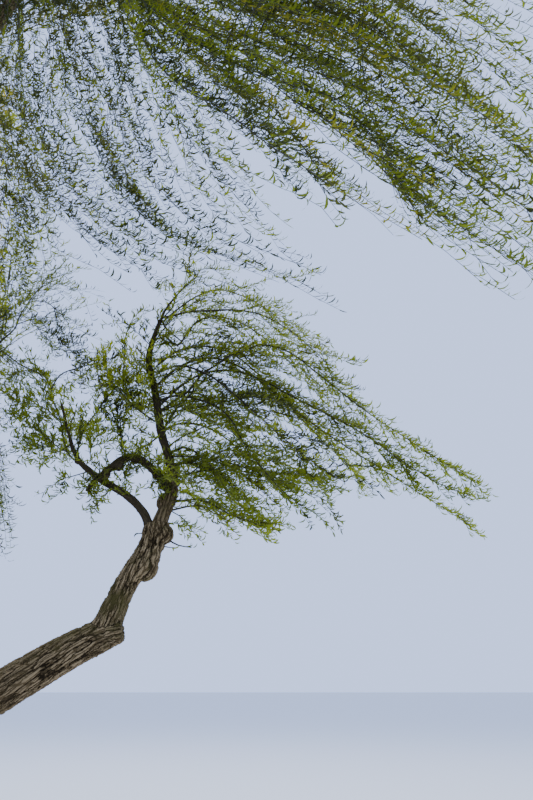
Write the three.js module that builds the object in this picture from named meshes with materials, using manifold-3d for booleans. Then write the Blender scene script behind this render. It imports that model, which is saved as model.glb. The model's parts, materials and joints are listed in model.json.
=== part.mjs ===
// Weeping willow blown by the wind: one foot, a leaning trunk and an upright main stem,
// long boughs, and foliage that hangs in swept curtains. Millimetres, +Z up, origin in
// the middle of the flat cut at ground level. The wind blows towards +X.

import * as THREE from 'three';
import { mergeVertices } from 'three/addons/utils/BufferGeometryUtils.js';
import Module from 'manifold-3d';

// Driving dimensions

const SEAM = 0.34;          // how far a neighbour's faces are moved out before it cuts a piece
const SHARPEST = 0.2;       // cosine that bounds how far a sharp corner moves
const LEAN_TURNS = 24;      // rounds of leaning a corner's direction towards its worst face
const FOOT_RADIUS = 430;    // bole at ground level, between the root lobes
const ROOT_LOBES = 6;
const LOBE_DEPTH = 0.16;    // share of the radius that a root lobe stands out
const LOBE_HEIGHT = 260;    // height over which the lobes fade out
const LOBE_TURN = 0.6;      // turn of the lobes round the bole, in radians
const LOBE_HOLLOW = -0.4;   // depth of the hollow between two lobes, as a share of a lobe
const CUT_DEPTH = 400;      // how far the bole is drawn below the ground before its cut

const TRUNK_SIDES = 12;
const LEADER_SIDES = 10;
const BOUGH_SIDES = 7;
const STEPS_PER_STATION = 2;

// Unevenness of a limb round its axis: waves round it, their depth as a share of the
// radius, and how far they turn from its foot to its end

const BROAD_KNOBS = { waves: 2, depth: 0.05, turn: 7 };
const SMALL_KNOBS = { waves: 3, depth: 0.03, turn: -11 };

const MASS_SIDES = 10;
const MASS_RINGS = 5;
const EDGE_SWELL = 0.14;    // unevenness of a mass, as a share of its half thickness
const TIP_RAGGEDNESS = 0.05; // unevenness of a mass's length
const TIP_SEED = 5;         // sets the tips' unevenness apart from the edges'
const WAVES_ACROSS = 3;     // how quickly a mass's unevenness changes across it
const WAVES_ALONG = 4;      // and along it
const BOW_PLACE = 0.45;     // share of a path at which its bow pulls
const BOW_PULL = 2;         // a curve's handle stands out twice as far as the curve
const ASIDE = 0.02;         // share of a mass over which its directions are measured

// How a mass swells from its ends to its middle: each is a sine over part of a half turn

const THICKNESS = { ends: 0.34, rise: 0.66, from: 0.12, run: 0.86, power: 0.8 };
const BREADTH = { ends: 0.82, rise: 0.18, from: 0.1, run: 0.84 };

// Sine waves that add up to the unevenness of a mass

const RIPPLES = [
  { depth: 0.5, across: 5.1, along: 0, seed: 2.7 },
  { depth: 0.3, across: 2.2, along: 8.3, seed: 3.9 },
  { depth: 0.2, across: 11.9, along: -6.4, seed: 1.3 },
];
const WELD = 1e-3;          // points nearer than this are merged

const BARK = { color: 0x6d6253, roughness: 0.95, metalness: 0 };
const GREEN = { color: 0x8ca23c, roughness: 0.8, metalness: 0 };

// Stations of the limbs: x, y, z of the centre line and the radius there

const TRUNK_BUTT = [
  [0, 0, -CUT_DEPTH, FOOT_RADIUS + 60],
  [0, 0, 0, FOOT_RADIUS],
  [40, 0, 330, 335],
  [250, 0, 700, 262],
  [900, 0, 1160, 195],
  [1649, 0, 1572, 163],
  [2255, 0, 1915, 148],
  [2470, 0, 2010, 138],
  [2640, 0, 2046, 88],
];
const TRUNK_LEADER = [
  [2410, 0, 1985, 128],
  [2490, 0, 2100, 122],
  [2601, 0, 2379, 100],
  [2684, 0, 2554, 96],
  [2795, 0, 2760, 96],
  [2845, 0, 2985, 88],
];
const BURRS = [
  { at: [2790, -10, 2590], radius: 128 },
  { at: [2905, -20, 2860], radius: 78 },
];

const LIMBS = [
  { name: 'main_stem', line: [[-20, 20, 300, 285], [-170, 40, 900, 262],
    [-400, 60, 1900, 220], [-480, 50, 3000, 190], [-380, -20, 4200, 160], [-120, -180, 5400, 132]] },
  { name: 'upright_leader', line: [[2850, 0, 2900, 66], [2925, 0, 3100, 68], [2982, 0, 3290, 64],
    [2972, 0, 3530, 48], [2841, 0, 3937, 40], [2750, 0, 4371, 37], [2654, 0, 4771, 33],
    [2742, 0, 5242, 23]] },
  { name: 'lower_left_bough', line: [[2812, 0, 2930, 44], [2750, 0, 3081, 42],
    [2572, 0, 3266, 38], [2285, 0, 3436, 33], [2045, 0, 3640, 25], [1900, 0, 3960, 16],
    [1800, 0, 4240, 13]] },
  { name: 'arching_bough', line: [[2972, 0, 3300, 36], [2845, -25, 3466, 40], [2728, -60, 3589, 38],
    [2584, -90, 3661, 35], [2461, -110, 3609, 31], [2328, -115, 3486, 27],
    [2190, -115, 3335, 20]] },
  { name: 'tip_branch', line: [[2735, 0, 5205, 20], [2790, 0, 5380, 19], [2913, 0, 5582, 14],
    [3069, 0, 5790, 9]] },
  { name: 'over_bough_rise', line: [[-140, -165, 5330, 112], [110, -480, 6700, 96],
    [480, -880, 8000, 82], [1130, -1330, 8880, 68]] },
  { name: 'over_bough_reach', line: [[1065, -1290, 8820, 50], [2000, -1700, 8950, 56],
    [3000, -2040, 8500, 46], [4100, -2420, 8060, 36], [4800, -2690, 7740, 26]] },
  { name: 'top_bough', line: [[-200, -130, 5150, 84], [-560, 60, 6500, 72], [-800, 220, 7700, 56],
    [-650, 250, 8800, 36]] },
  { name: 'left_bough_rise', line: [[-480, 40, 3150, 104], [-1050, -60, 4500, 90],
    [-1700, -120, 5750, 74], [-2280, -160, 6500, 62]] },
  { name: 'left_bough_reach', line: [[-2235, -158, 6450, 46], [-2700, -190, 6800, 46],
    [-3250, -220, 6830, 30]] },
  { name: 'front_bough', line: [[-400, -10, 4050, 92], [-700, -850, 5350, 76],
    [-800, -1850, 6550, 56], [-720, -2800, 6980, 34]] },
  { name: 'back_bough', line: [[-430, 40, 3750, 92], [-760, 950, 5150, 76],
    [-960, 1950, 6350, 56], [-880, 2850, 6720, 34]] },
  { name: 'front_left_bough', line: [[-480, 30, 2750, 92], [-1300, -900, 4500, 76],
    [-2050, -1750, 5950, 54], [-2450, -2300, 6380, 34]] },
  { name: 'back_left_bough', line: [[-490, 70, 2900, 92], [-1350, 1000, 4700, 76],
    [-2100, 1800, 6050, 54], [-2600, 2350, 6420, 34]] },
  { name: 'inner_right_bough', line: [[-380, -10, 4150, 62], [300, 40, 4480, 50],
    [1040, 60, 4860, 36], [1430, 60, 5420, 24]] },
];

// Masses of foliage. Shoots leave the root line and end on the tip line; bow carries
// the middle of their path to one side, and half is half the thickness there.

const MASSES = [
  { name: 'crest_foliage', root: [[2840, -240, 5480], [2840, 250, 5480]],
    tip: [[4440, -760, 4930], [4500, 740, 4960]], bow: [0, 0, 560], half: 190 },
  { name: 'upper_swept_foliage', root: [[2760, -260, 4980], [2760, 280, 4980]],
    tip: [[5330, -840, 3900], [5450, 760, 3850]], bow: [0, 0, 520], half: 240 },
  { name: 'long_swept_foliage', root: [[2750, -280, 4500], [2750, 290, 4500]],
    tip: [[5980, -680, 3160], [6080, 640, 3300]], bow: [0, 0, 510], half: 230 },
  { name: 'middle_swept_foliage', root: [[2820, -280, 3970], [2820, 290, 3970]],
    tip: [[5050, -860, 3290], [5120, 800, 3230]], bow: [0, 0, 330], half: 230 },
  { name: 'lower_swept_foliage', root: [[3000, -230, 3520], [3000, 240, 3520]],
    tip: [[4180, -700, 3180], [4220, 680, 3160]], bow: [0, 0, 210], half: 190 },
  { name: 'fork_foliage', root: [[3030, -140, 3160], [3030, 150, 3160]],
    tip: [[3560, -420, 2880], [3620, 400, 2920]], bow: [0, 0, 90], half: 130 },
  { name: 'left_crest_foliage', root: [[2680, -220, 4700], [2680, 240, 4700]],
    tip: [[1780, -600, 4640], [1760, 580, 4660]], bow: [0, 0, 150], half: 200 },
  { name: 'left_swept_foliage', root: [[1260, -480, 4330], [1240, 500, 4360]],
    tip: [[2560, -430, 4100], [2580, 430, 4080]], bow: [0, 0, 60], half: 230 },
  { name: 'left_low_foliage', root: [[1400, -400, 3850], [1400, 400, 3880]],
    tip: [[2180, -360, 3560], [2200, 340, 3560]], bow: [0, 0, 60], half: 180 },
  { name: 'arch_end_foliage', root: [[2150, -215, 3425], [2150, -15, 3425]],
    tip: [[2210, -215, 3180], [2230, -15, 3190]], bow: [0, 0, 0], half: 90 },
  { name: 'edge_foliage', root: [[700, -560, 4950], [700, 620, 4980]],
    tip: [[1820, -420, 5850], [1800, 480, 5900]], bow: [0, 0, 140], half: 340 },
  { name: 'edge_curtain', root: [[440, -560, 4660], [500, 620, 4660]],
    tip: [[1460, -430, 2700], [1440, 360, 2650]], bow: [0, 0, 120], half: 200 },

  { name: 'near_curtain_outer', root: [[-950, -1000, 8780], [150, -1190, 9060]],
    tip: [[800, -1150, 5190], [1800, -1400, 4950]], bow: [-260, 0, -90], half: 300 },
  { name: 'near_curtain_left', root: [[100, -1190, 9060], [1150, -1420, 9120]],
    tip: [[1760, -1440, 4920], [2660, -1740, 4700]], bow: [-290, 0, -110], half: 300 },
  { name: 'near_curtain_long', root: [[1120, -1430, 9120], [1950, -1680, 9000]],
    tip: [[2620, -1750, 4620], [3480, -2060, 4260]], bow: [-310, 0, -110], half: 290 },
  { name: 'near_curtain_middle', root: [[1940, -1690, 8990], [2760, -1950, 8700]],
    tip: [[3440, -2080, 4540], [4180, -2420, 4070]], bow: [-220, 0, -40], half: 290 },
  { name: 'near_curtain_spray', root: [[2740, -1950, 8700], [3350, -2140, 8450]],
    tip: [[4150, -2430, 4660], [4720, -2720, 4190]], bow: [-40, 0, 60], half: 270 },
  { name: 'near_curtain_dense', root: [[3330, -2140, 8450], [4150, -2430, 8190]],
    tip: [[4760, -2820, 4100], [5420, -3200, 3420]], bow: [170, 0, 190], half: 300 },
  { name: 'near_curtain_far', root: [[4130, -2430, 8180], [4680, -2630, 7950]],
    tip: [[5360, -3210, 3440], [5860, -3330, 3760]], bow: [280, 0, 250], half: 280 },
  { name: 'near_curtain_end', root: [[4660, -2630, 7940], [5080, -2800, 7700]],
    tip: [[5800, -3310, 4160], [6300, -3350, 4620]], bow: [280, 0, 240], half: 240 },

  { name: 'over_dome_foliage', root: [[-100, -250, 9050], [300, -1500, 9080]],
    tip: [[3700, -1500, 8480], [3450, -2900, 8350]], bow: [0, 0, 340], half: 240 },
  { name: 'top_foliage', root: [[-1650, -900, 8420], [-1600, 1150, 8380]],
    tip: [[700, -1050, 8760], [450, 1050, 8700]], bow: [0, 0, 520], half: 360 },
  { name: 'left_dome_foliage', root: [[-1450, -1300, 8150], [-1450, 1350, 8100]],
    tip: [[-3200, -1350, 6600], [-3200, 1400, 6550]], bow: [0, 0, 460], half: 380 },
  { name: 'front_dome_foliage', root: [[-1600, -850, 8250], [500, -1200, 8520]],
    tip: [[-1750, -2500, 6950], [650, -2750, 7200]], bow: [0, 0, 400], half: 340 },
  { name: 'back_dome_foliage', root: [[-1600, 950, 8200], [350, 900, 8450]],
    tip: [[-1800, 2600, 6800], [250, 2500, 7050]], bow: [0, 0, 400], half: 340 },
  { name: 'back_right_dome_foliage', root: [[-350, 450, 8950], [-700, 1700, 8500]],
    tip: [[1450, 550, 7980], [700, 2050, 7800]], bow: [0, 0, 260], half: 260 },
  { name: 'front_curtain', root: [[-1800, -2400, 7200], [600, -2750, 7350]],
    tip: [[-900, -3050, 2650], [1400, -3200, 2950]], bow: [0, 0, 340], half: 380 },
  { name: 'front_left_curtain', root: [[-3250, -1450, 6700], [-1750, -2500, 7000]],
    tip: [[-2700, -2100, 2150], [-900, -3000, 2450]], bow: [0, 0, 320], half: 380 },
  { name: 'left_curtain', root: [[-3400, 1250, 6650], [-3300, -1500, 6700]],
    tip: [[-3200, 1150, 1950], [-2850, -1750, 2000]], bow: [0, 0, 360], half: 400 },
  { name: 'back_left_curtain', root: [[-1750, 2650, 6850], [-3350, 1200, 6650]],
    tip: [[-1150, 3050, 2350], [-3000, 1450, 2050]], bow: [0, 0, 320], half: 380 },
  { name: 'back_curtain', root: [[100, 2450, 7150], [-1850, 2650, 6900]],
    tip: [[230, 2850, 2550], [-1250, 3100, 2350]], bow: [0, 0, 340], half: 370 },
  { name: 'back_right_curtain', root: [[500, 450, 8350], [-100, 2200, 7600]],
    tip: [[460, 800, 4300], [150, 2600, 3400]], bow: [0, 0, 260], half: 310 },
  { name: 'inner_front_curtain', root: [[-1000, -1250, 7900], [500, -1450, 8200]],
    tip: [[-250, -1700, 3700], [1000, -1850, 4000]], bow: [0, 0, 180], half: 270 },
];

// Small helpers

const point = ([x, y, z]) => new THREE.Vector3(x, y, z);
const mix = (a, b, share) => a + (b - a) * share;

/** Smooth unevenness between -1 and 1 for a place (u, v) on piece number seed. */
function ripple(seed, u, v) {
  return RIPPLES.reduce((sum, wave) => {
    const phase = wave.across * u + wave.along * v + wave.seed * seed;
    return sum + wave.depth * Math.sin(phase);
  }, 0);
}

/** A closed body from rings of equal point counts, with a fan of faces over each end. */
function ringBody(rings) {
  const sides = rings[0].length;
  const middle = (ring) => ring
    .reduce((sum, p) => sum.add(p), new THREE.Vector3())
    .divideScalar(sides);
  const points = [...rings.flat(), middle(rings[0]), middle(rings.at(-1))];
  const firstPole = points.length - 2;
  const lastPole = points.length - 1;
  const faces = [];
  for (let side = 0; side < sides; side += 1) {
    const next = (side + 1) % sides;
    faces.push(firstPole, next, side);
    for (let ring = 0; ring < rings.length - 1; ring += 1) {
      const low = ring * sides;
      const high = low + sides;
      faces.push(low + side, low + next, high + next);
      faces.push(low + side, high + next, high + side);
    }
    const top = (rings.length - 1) * sides;
    faces.push(lastPole, top + side, top + next);
  }
  const body = new THREE.BufferGeometry().setFromPoints(points);
  body.setIndex(faces);
  return body;
}

/** How far a root lobe stands out at a height, as a share of the radius. */
function lobe(angle, height) {
  const fade = Math.exp(-Math.max(height, 0) / LOBE_HEIGHT);
  return LOBE_DEPTH * fade * Math.max(Math.cos(ROOT_LOBES * angle + LOBE_TURN), LOBE_HOLLOW);
}

/** A tapering limb through its stations; a footed limb has root lobes low down. */
function limbBody(line, sides, seed, footed = false) {
  const curve = new THREE.CatmullRomCurve3(line.map(point), false, 'centripetal');
  const spans = line.length - 1;
  const steps = spans * STEPS_PER_STATION;
  const across = new THREE.Vector3(0, 1, 0);
  const rings = [];
  for (let step = 0; step <= steps; step += 1) {
    const share = step / steps;
    const span = Math.min(Math.floor(share * spans), spans - 1);
    const radius = mix(line[span][3], line[span + 1][3], share * spans - span);
    const centre = curve.getPoint(share);
    const along = curve.getTangent(share);
    across.addScaledVector(along, -across.dot(along)).normalize();
    const third = new THREE.Vector3().crossVectors(along, across);
    const ring = [];
    for (let side = 0; side < sides; side += 1) {
      const angle = 2 * Math.PI * side / sides;
      const broad = BROAD_KNOBS.waves * angle + seed + BROAD_KNOBS.turn * share;
      const small = SMALL_KNOBS.waves * angle + SMALL_KNOBS.turn * share;
      const knobs = BROAD_KNOBS.depth * Math.sin(broad) + SMALL_KNOBS.depth * Math.sin(small);
      const swell = 1 + knobs + (footed ? lobe(angle, centre.z) : 0);
      ring.push(centre.clone()
        .addScaledVector(across, radius * swell * Math.cos(angle))
        .addScaledVector(third, radius * swell * Math.sin(angle)));
    }
    rings.push(ring);
  }
  return ringBody(rings);
}

/** One mass of foliage: a swept, uneven lobe between its root line and its tip line. */
function massBody({ root, tip, bow, half }, seed) {
  const [rootA, rootB] = root.map(point);
  const [tipA, tipB] = tip.map(point);
  const path = (a, b) => {
    const start = rootA.clone().lerp(rootB, a);
    const end = tipA.clone().lerp(tipB, a);
    const middle = start.clone().lerp(end, BOW_PLACE).addScaledVector(point(bow), BOW_PULL);
    return new THREE.QuadraticBezierCurve3(start, middle, end).getPoint(b);
  };
  const rings = [];
  for (let ring = 0; ring <= MASS_RINGS; ring += 1) {
    const b = ring / MASS_RINGS;
    const turn = Math.PI * Math.min(THICKNESS.from + THICKNESS.run * b, 1);
    const fullness = THICKNESS.ends + THICKNESS.rise * Math.sin(turn) ** THICKNESS.power;
    const widening = Math.PI * (BREADTH.from + BREADTH.run * b);
    const spread = BREADTH.ends + BREADTH.rise * Math.sin(widening);
    const points = [];
    for (let side = 0; side < MASS_SIDES; side += 1) {
      const angle = 2 * Math.PI * side / MASS_SIDES;
      const a = 0.5 - 0.5 * spread * Math.cos(angle);
      const reach = b + TIP_RAGGEDNESS * ripple(seed + TIP_SEED, WAVES_ACROSS * a, 0) * b;
      const centre = path(a, reach);
      const width = path(a + ASIDE, reach).sub(centre);
      const length = path(a, reach + ASIDE).sub(centre);
      const out = new THREE.Vector3().crossVectors(width, length).normalize();
      const across = WAVES_ACROSS * a + Math.sin(angle);
      const swell = 1 + EDGE_SWELL * ripple(seed, across, WAVES_ALONG * b);
      points.push(centre.addScaledVector(out, half * fullness * swell * Math.sin(angle)));
    }
    rings.push(points);
  }
  return ringBody(rings);
}

// Joining and cutting closed bodies

const wasm = await Module();
wasm.setup();

/** A geometry's merged form, which holds only shared positions and an index. */
function merged(geometry) {
  const bare = geometry.clone();
  bare.deleteAttribute('normal');
  bare.deleteAttribute('uv');
  return mergeVertices(bare, WELD);
}

/** The solid of a closed geometry, turned outside out where its faces point in. */
function solidOf(geometry) {
  const closed = merged(geometry);
  const vertProperties = new Float32Array(closed.attributes.position.array);
  const triVerts = new Uint32Array(closed.index.array);
  const solid = new wasm.Manifold(new wasm.Mesh({ numProp: 3, vertProperties, triVerts }));
  if (solid.volume() > 0) {
    return solid;
  }
  for (let face = 0; face < triVerts.length; face += 3) {
    [triVerts[face + 1], triVerts[face + 2]] = [triVerts[face + 2], triVerts[face + 1]];
  }
  return new wasm.Manifold(new wasm.Mesh({ numProp: 3, vertProperties, triVerts }));
}

/** The geometry of a solid. */
function geometryOf(solid) {
  const mesh = solid.getMesh();
  const geometry = new THREE.BufferGeometry();
  geometry.setAttribute('position', new THREE.BufferAttribute(mesh.vertProperties, 3));
  geometry.setIndex(new THREE.BufferAttribute(mesh.triVerts, 1));
  geometry.computeVertexNormals();
  return geometry;
}

/** The unit normals of the faces round each point of an indexed geometry. */
function facingRound(geometry) {
  const place = geometry.attributes.position;
  const index = geometry.index.array;
  const facing = Array.from({ length: place.count }, () => []);
  for (let face = 0; face < index.length; face += 3) {
    const ends = [...index.slice(face, face + 3)];
    const corners = ends.map((end) => new THREE.Vector3().fromBufferAttribute(place, end));
    const normal = new THREE.Triangle(...corners).getNormal(new THREE.Vector3());
    ends.forEach((end) => facing[end].push(normal));
  }
  return facing;
}

/** The direction that leans least away from all the given unit normals. */
function outwards(normals) {
  const out = normals.reduce((sum, normal) => sum.add(normal), new THREE.Vector3()).normalize();
  const furthest = () => normals.reduce((a, b) => (a.dot(out) < b.dot(out) ? a : b));
  for (let turn = 1; turn <= LEAN_TURNS; turn += 1) {
    out.addScaledVector(furthest(), 1 / (turn + 1)).normalize();
  }
  return { out, least: furthest().dot(out) };
}

/** The same solid with every face moved out by the seam. */
function swollen(solid) {
  const geometry = geometryOf(solid);
  const place = geometry.attributes.position;
  facingRound(geometry).forEach((normals, i) => {
    const { out, least } = outwards(normals);
    const moved = new THREE.Vector3()
      .fromBufferAttribute(place, i)
      .addScaledVector(out, SEAM / Math.max(least, SHARPEST));
    place.setXYZ(i, moved.x, moved.y, moved.z);
  });
  return solidOf(geometry);
}

/** True where the boxes of two solids meet. */
function near(one, other) {
  const a = one.boundingBox();
  const b = other.boundingBox();
  return [0, 1, 2].every((axis) => a.min[axis] < b.max[axis] && b.min[axis] < a.max[axis]);
}

// The pieces

/** The leaning trunk: flared foot, cut stub at the bend, thinner leader and its burrs. */
function trunkSolid() {
  let solid = solidOf(limbBody(TRUNK_BUTT, TRUNK_SIDES, 1, true));
  solid = solid.add(solidOf(limbBody(TRUNK_LEADER, LEADER_SIDES, 2)));
  for (const burr of BURRS) {
    const lump = new THREE.IcosahedronGeometry(burr.radius, 1).translate(...burr.at);
    solid = solid.add(solidOf(lump));
  }
  const side = 4 * FOOT_RADIUS;
  const soil = new THREE.BoxGeometry(side, side, 2 * CUT_DEPTH).translate(0, 0, -CUT_DEPTH);
  return solid.subtract(solidOf(soil));
}

const tree = new THREE.Group();
const cutters = [];

/** Cuts a solid clear of all earlier pieces and adds it to the tree. */
function place(name, solid, finish) {
  const cut = cutters
    .filter((cutter) => near(cutter, solid))
    .reduce((rest, cutter) => rest.subtract(cutter), solid);
  cutters.push(swollen(solid));
  const mesh = new THREE.Mesh(geometryOf(cut), new THREE.MeshStandardMaterial(finish));
  mesh.name = name;
  tree.add(mesh);
}

place('trunk', trunkSolid(), BARK);
LIMBS.forEach(({ name, line }, seed) => {
  place(name, solidOf(limbBody(line, BOUGH_SIDES, seed)), BARK);
});
MASSES.forEach((mass, seed) => {
  place(mass.name, solidOf(massBody(mass, seed)), GREEN);
});

export default tree;
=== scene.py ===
"""Weeping willow in early leaf, swept by the wind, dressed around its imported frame.

Metres, +Z up, origin in the middle of the flat cut under the trunk. The wind blows
towards +X. The trunk and boughs get a skin with the bark's relief, and each mass of
foliage becomes stems, hanging shoots and leaves that grow on from the limbs.
"""

import json
import logging
import math
from collections.abc import Sequence
from dataclasses import dataclass, field
from enum import Enum
from typing import Any

import bmesh
import bpy
import numpy as np
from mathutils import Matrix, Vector

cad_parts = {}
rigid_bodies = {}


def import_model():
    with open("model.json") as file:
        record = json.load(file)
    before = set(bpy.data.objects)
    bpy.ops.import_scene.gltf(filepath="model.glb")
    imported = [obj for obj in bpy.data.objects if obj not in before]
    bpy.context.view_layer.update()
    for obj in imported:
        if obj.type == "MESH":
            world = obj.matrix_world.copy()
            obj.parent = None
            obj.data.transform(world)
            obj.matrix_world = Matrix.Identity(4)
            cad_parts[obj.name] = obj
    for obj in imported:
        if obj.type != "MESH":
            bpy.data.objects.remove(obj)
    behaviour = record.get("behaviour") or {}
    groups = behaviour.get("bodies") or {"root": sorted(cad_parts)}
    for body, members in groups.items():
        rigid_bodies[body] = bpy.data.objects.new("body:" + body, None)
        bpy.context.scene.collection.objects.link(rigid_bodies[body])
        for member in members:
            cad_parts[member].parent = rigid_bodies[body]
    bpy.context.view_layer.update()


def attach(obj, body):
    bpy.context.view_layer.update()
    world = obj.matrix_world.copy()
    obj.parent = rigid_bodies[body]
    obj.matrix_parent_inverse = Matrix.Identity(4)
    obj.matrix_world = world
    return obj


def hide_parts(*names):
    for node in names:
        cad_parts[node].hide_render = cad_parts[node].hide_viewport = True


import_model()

BODY = "root"

Point = tuple[float, float, float]
Colour = tuple[float, float, float]
Array = np.ndarray

CENTIMETRES = 100
MILLIMETRES = 1000
UP = np.array((0.0, 0.0, 1.0))
TINY = 1e-6
WRAPS = ("wrap_near", "wrap_far")
LOG = logging.getLogger("willow")


# Node trees


class Signal:
    """A socket that can stand in a Python expression."""

    def __init__(self, nodes: "Nodes", socket: bpy.types.NodeSocket) -> None:
        """Keeps the socket and the tree that it belongs to."""
        self.nodes = nodes
        self.socket = socket

    @property
    def is_vector(self) -> bool:
        """True where the socket carries a vector or colour."""
        return self.socket.type in {"VECTOR", "RGBA"}

    def other(self, name: str) -> "Signal":
        """Another output of the same node."""
        return Signal(self.nodes, self.socket.node.outputs[name])

    def _combined(self, operation: str, first: Any, second: Any) -> "Signal":
        """Adds the maths node that an operator stands for.

        Args:
            operation: Name of the Math or Vector Math operation.
            first: Left side, a signal, number or vector.
            second: Right side, a signal, number or vector.

        Returns:
            The node's result.
        """
        vectors = [isinstance(side, Signal) and side.is_vector or isinstance(side, tuple)
                   for side in (first, second)]
        if operation == "MULTIPLY" and vectors[0] != vectors[1]:
            vector, scale = (first, second) if vectors[0] else (second, first)
            return self.nodes.add("ShaderNodeVectorMath", {"operation": "SCALE"},
                                  {"Vector": vector, "Scale": scale})
        kind = "ShaderNodeVectorMath" if any(vectors) else "ShaderNodeMath"
        return self.nodes.add(kind, {"operation": operation}, {0: first, 1: second})

    def __add__(self, other: Any) -> "Signal":
        """self + other."""
        return self._combined("ADD", self, other)

    def __radd__(self, other: Any) -> "Signal":
        """other + self."""
        return self._combined("ADD", other, self)

    def __sub__(self, other: Any) -> "Signal":
        """self - other."""
        return self._combined("SUBTRACT", self, other)

    def __rsub__(self, other: Any) -> "Signal":
        """other - self."""
        return self._combined("SUBTRACT", other, self)

    def __mul__(self, other: Any) -> "Signal":
        """self * other."""
        return self._combined("MULTIPLY", self, other)

    def __rmul__(self, other: Any) -> "Signal":
        """other * self."""
        return self._combined("MULTIPLY", other, self)

    def __truediv__(self, other: Any) -> "Signal":
        """self / other."""
        return self._combined("DIVIDE", self, other)

    def __rtruediv__(self, other: Any) -> "Signal":
        """other / self."""
        return self._combined("DIVIDE", other, self)

    def cosine(self) -> "Signal":
        """The cosine of an angle in radians."""
        return self.nodes.add("ShaderNodeMath", {"operation": "COSINE"}, {0: self})

    def sine(self) -> "Signal":
        """The sine of an angle in radians."""
        return self.nodes.add("ShaderNodeMath", {"operation": "SINE"}, {0: self})

    def cross(self, other: "Signal") -> "Signal":
        """The cross product of two vectors."""
        return self._combined("CROSS_PRODUCT", self, other)

    def stretched(self, factor: float) -> "Signal":
        """Coordinates of a pattern that runs longer by a factor along Z."""
        return self * (1.0, 1.0, 1.0 / factor)


class Nodes:
    """Adds nodes to one tree, every kind through the same method."""

    def __init__(self, tree: bpy.types.NodeTree) -> None:
        """Keeps the tree that the nodes go into."""
        self.tree = tree

    def add(self, kind: str, settings: dict[str, Any] | None = None,
            values: dict[str | int, Any] | None = None, out: str | None = None) -> Signal:
        """Adds one node.

        Args:
            kind: The node's Blender type.
            settings: Properties of the node, set before its sockets.
            values: Socket name or number, with a signal to link or a value to set.
            out: Name of the output to hand back, or None for the first one.

        Returns:
            The chosen output, or a signal on the first input of a node without outputs.
        """
        node = self.tree.nodes.new(kind)
        for name, value in (settings or {}).items():
            setattr(node, name, value)
        for name, value in (values or {}).items():
            self._feed(self._input(node, name), value)
        usable = [socket for socket in node.outputs if socket.enabled]
        if out is not None:
            return Signal(self, next(s for s in usable if s.name == out))
        return Signal(self, usable[0] if usable else node.inputs[0])

    @staticmethod
    def _input(node: bpy.types.Node, name: str | int) -> bpy.types.NodeSocket:
        """Finds an input.

        Args:
            node: The node.
            name: The input's number, or its name among the enabled ones.

        Returns:
            The input.
        """
        if isinstance(name, int):
            return node.inputs[name]
        return next(s for s in node.inputs if s.name == name and s.enabled)

    def _feed(self, socket: bpy.types.NodeSocket, value: Any) -> None:
        """Links a signal to an input, or sets the input's value.

        Args:
            socket: The input.
            value: Signal, colour, vector or number.
        """
        if isinstance(value, Signal):
            self.tree.links.new(value.socket, socket)
        elif socket.type == "RGBA":
            socket.default_value = (*value[:3], 1.0)
        else:
            socket.default_value = value

    def mix(self, factor: Any, first: Any, second: Any) -> Signal:
        """Mixes two colours.

        Args:
            factor: Share of the second colour.
            first: Colour or signal.
            second: Colour or signal.

        Returns:
            The mixed colour.
        """
        return self.add("ShaderNodeMix", {"data_type": "RGBA"},
                        {"Factor": factor, "A": first, "B": second})

    def ranged(self, value: Signal, low: float, high: float,
               to_low: float = 0.0, to_high: float = 1.0) -> Signal:
        """A smooth step of a value from one range to another.

        Args:
            value: Signal to follow.
            low: Value where the result is to_low.
            high: Value where the result is to_high.
            to_low: Result at low.
            to_high: Result at high.

        Returns:
            The stepped value.
        """
        return self.add("ShaderNodeMapRange", {"interpolation_type": "SMOOTHSTEP"},
                        {"Value": value, "From Min": low, "From Max": high,
                         "To Min": to_low, "To Max": to_high})

    def noise(self, place: Signal, scale: float, detail: float = 2.0,
              roughness: float = 0.5) -> Signal:
        """Noise between 0 and 1.

        Args:
            place: Coordinates of the pattern.
            scale: Size of the pattern, in repeats per unit.
            detail: Octaves.
            roughness: Strength of the finer octaves.

        Returns:
            The noise value.
        """
        return self.add("ShaderNodeTexNoise", None, {"Vector": place, "Scale": scale,
                                                     "Detail": detail, "Roughness": roughness})

    def layer(self, name: str, out: str = "Fac") -> Signal:
        """A mesh attribute, as a material reads it."""
        return self.add("ShaderNodeAttribute", {"attribute_name": name}, out=out)


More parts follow.
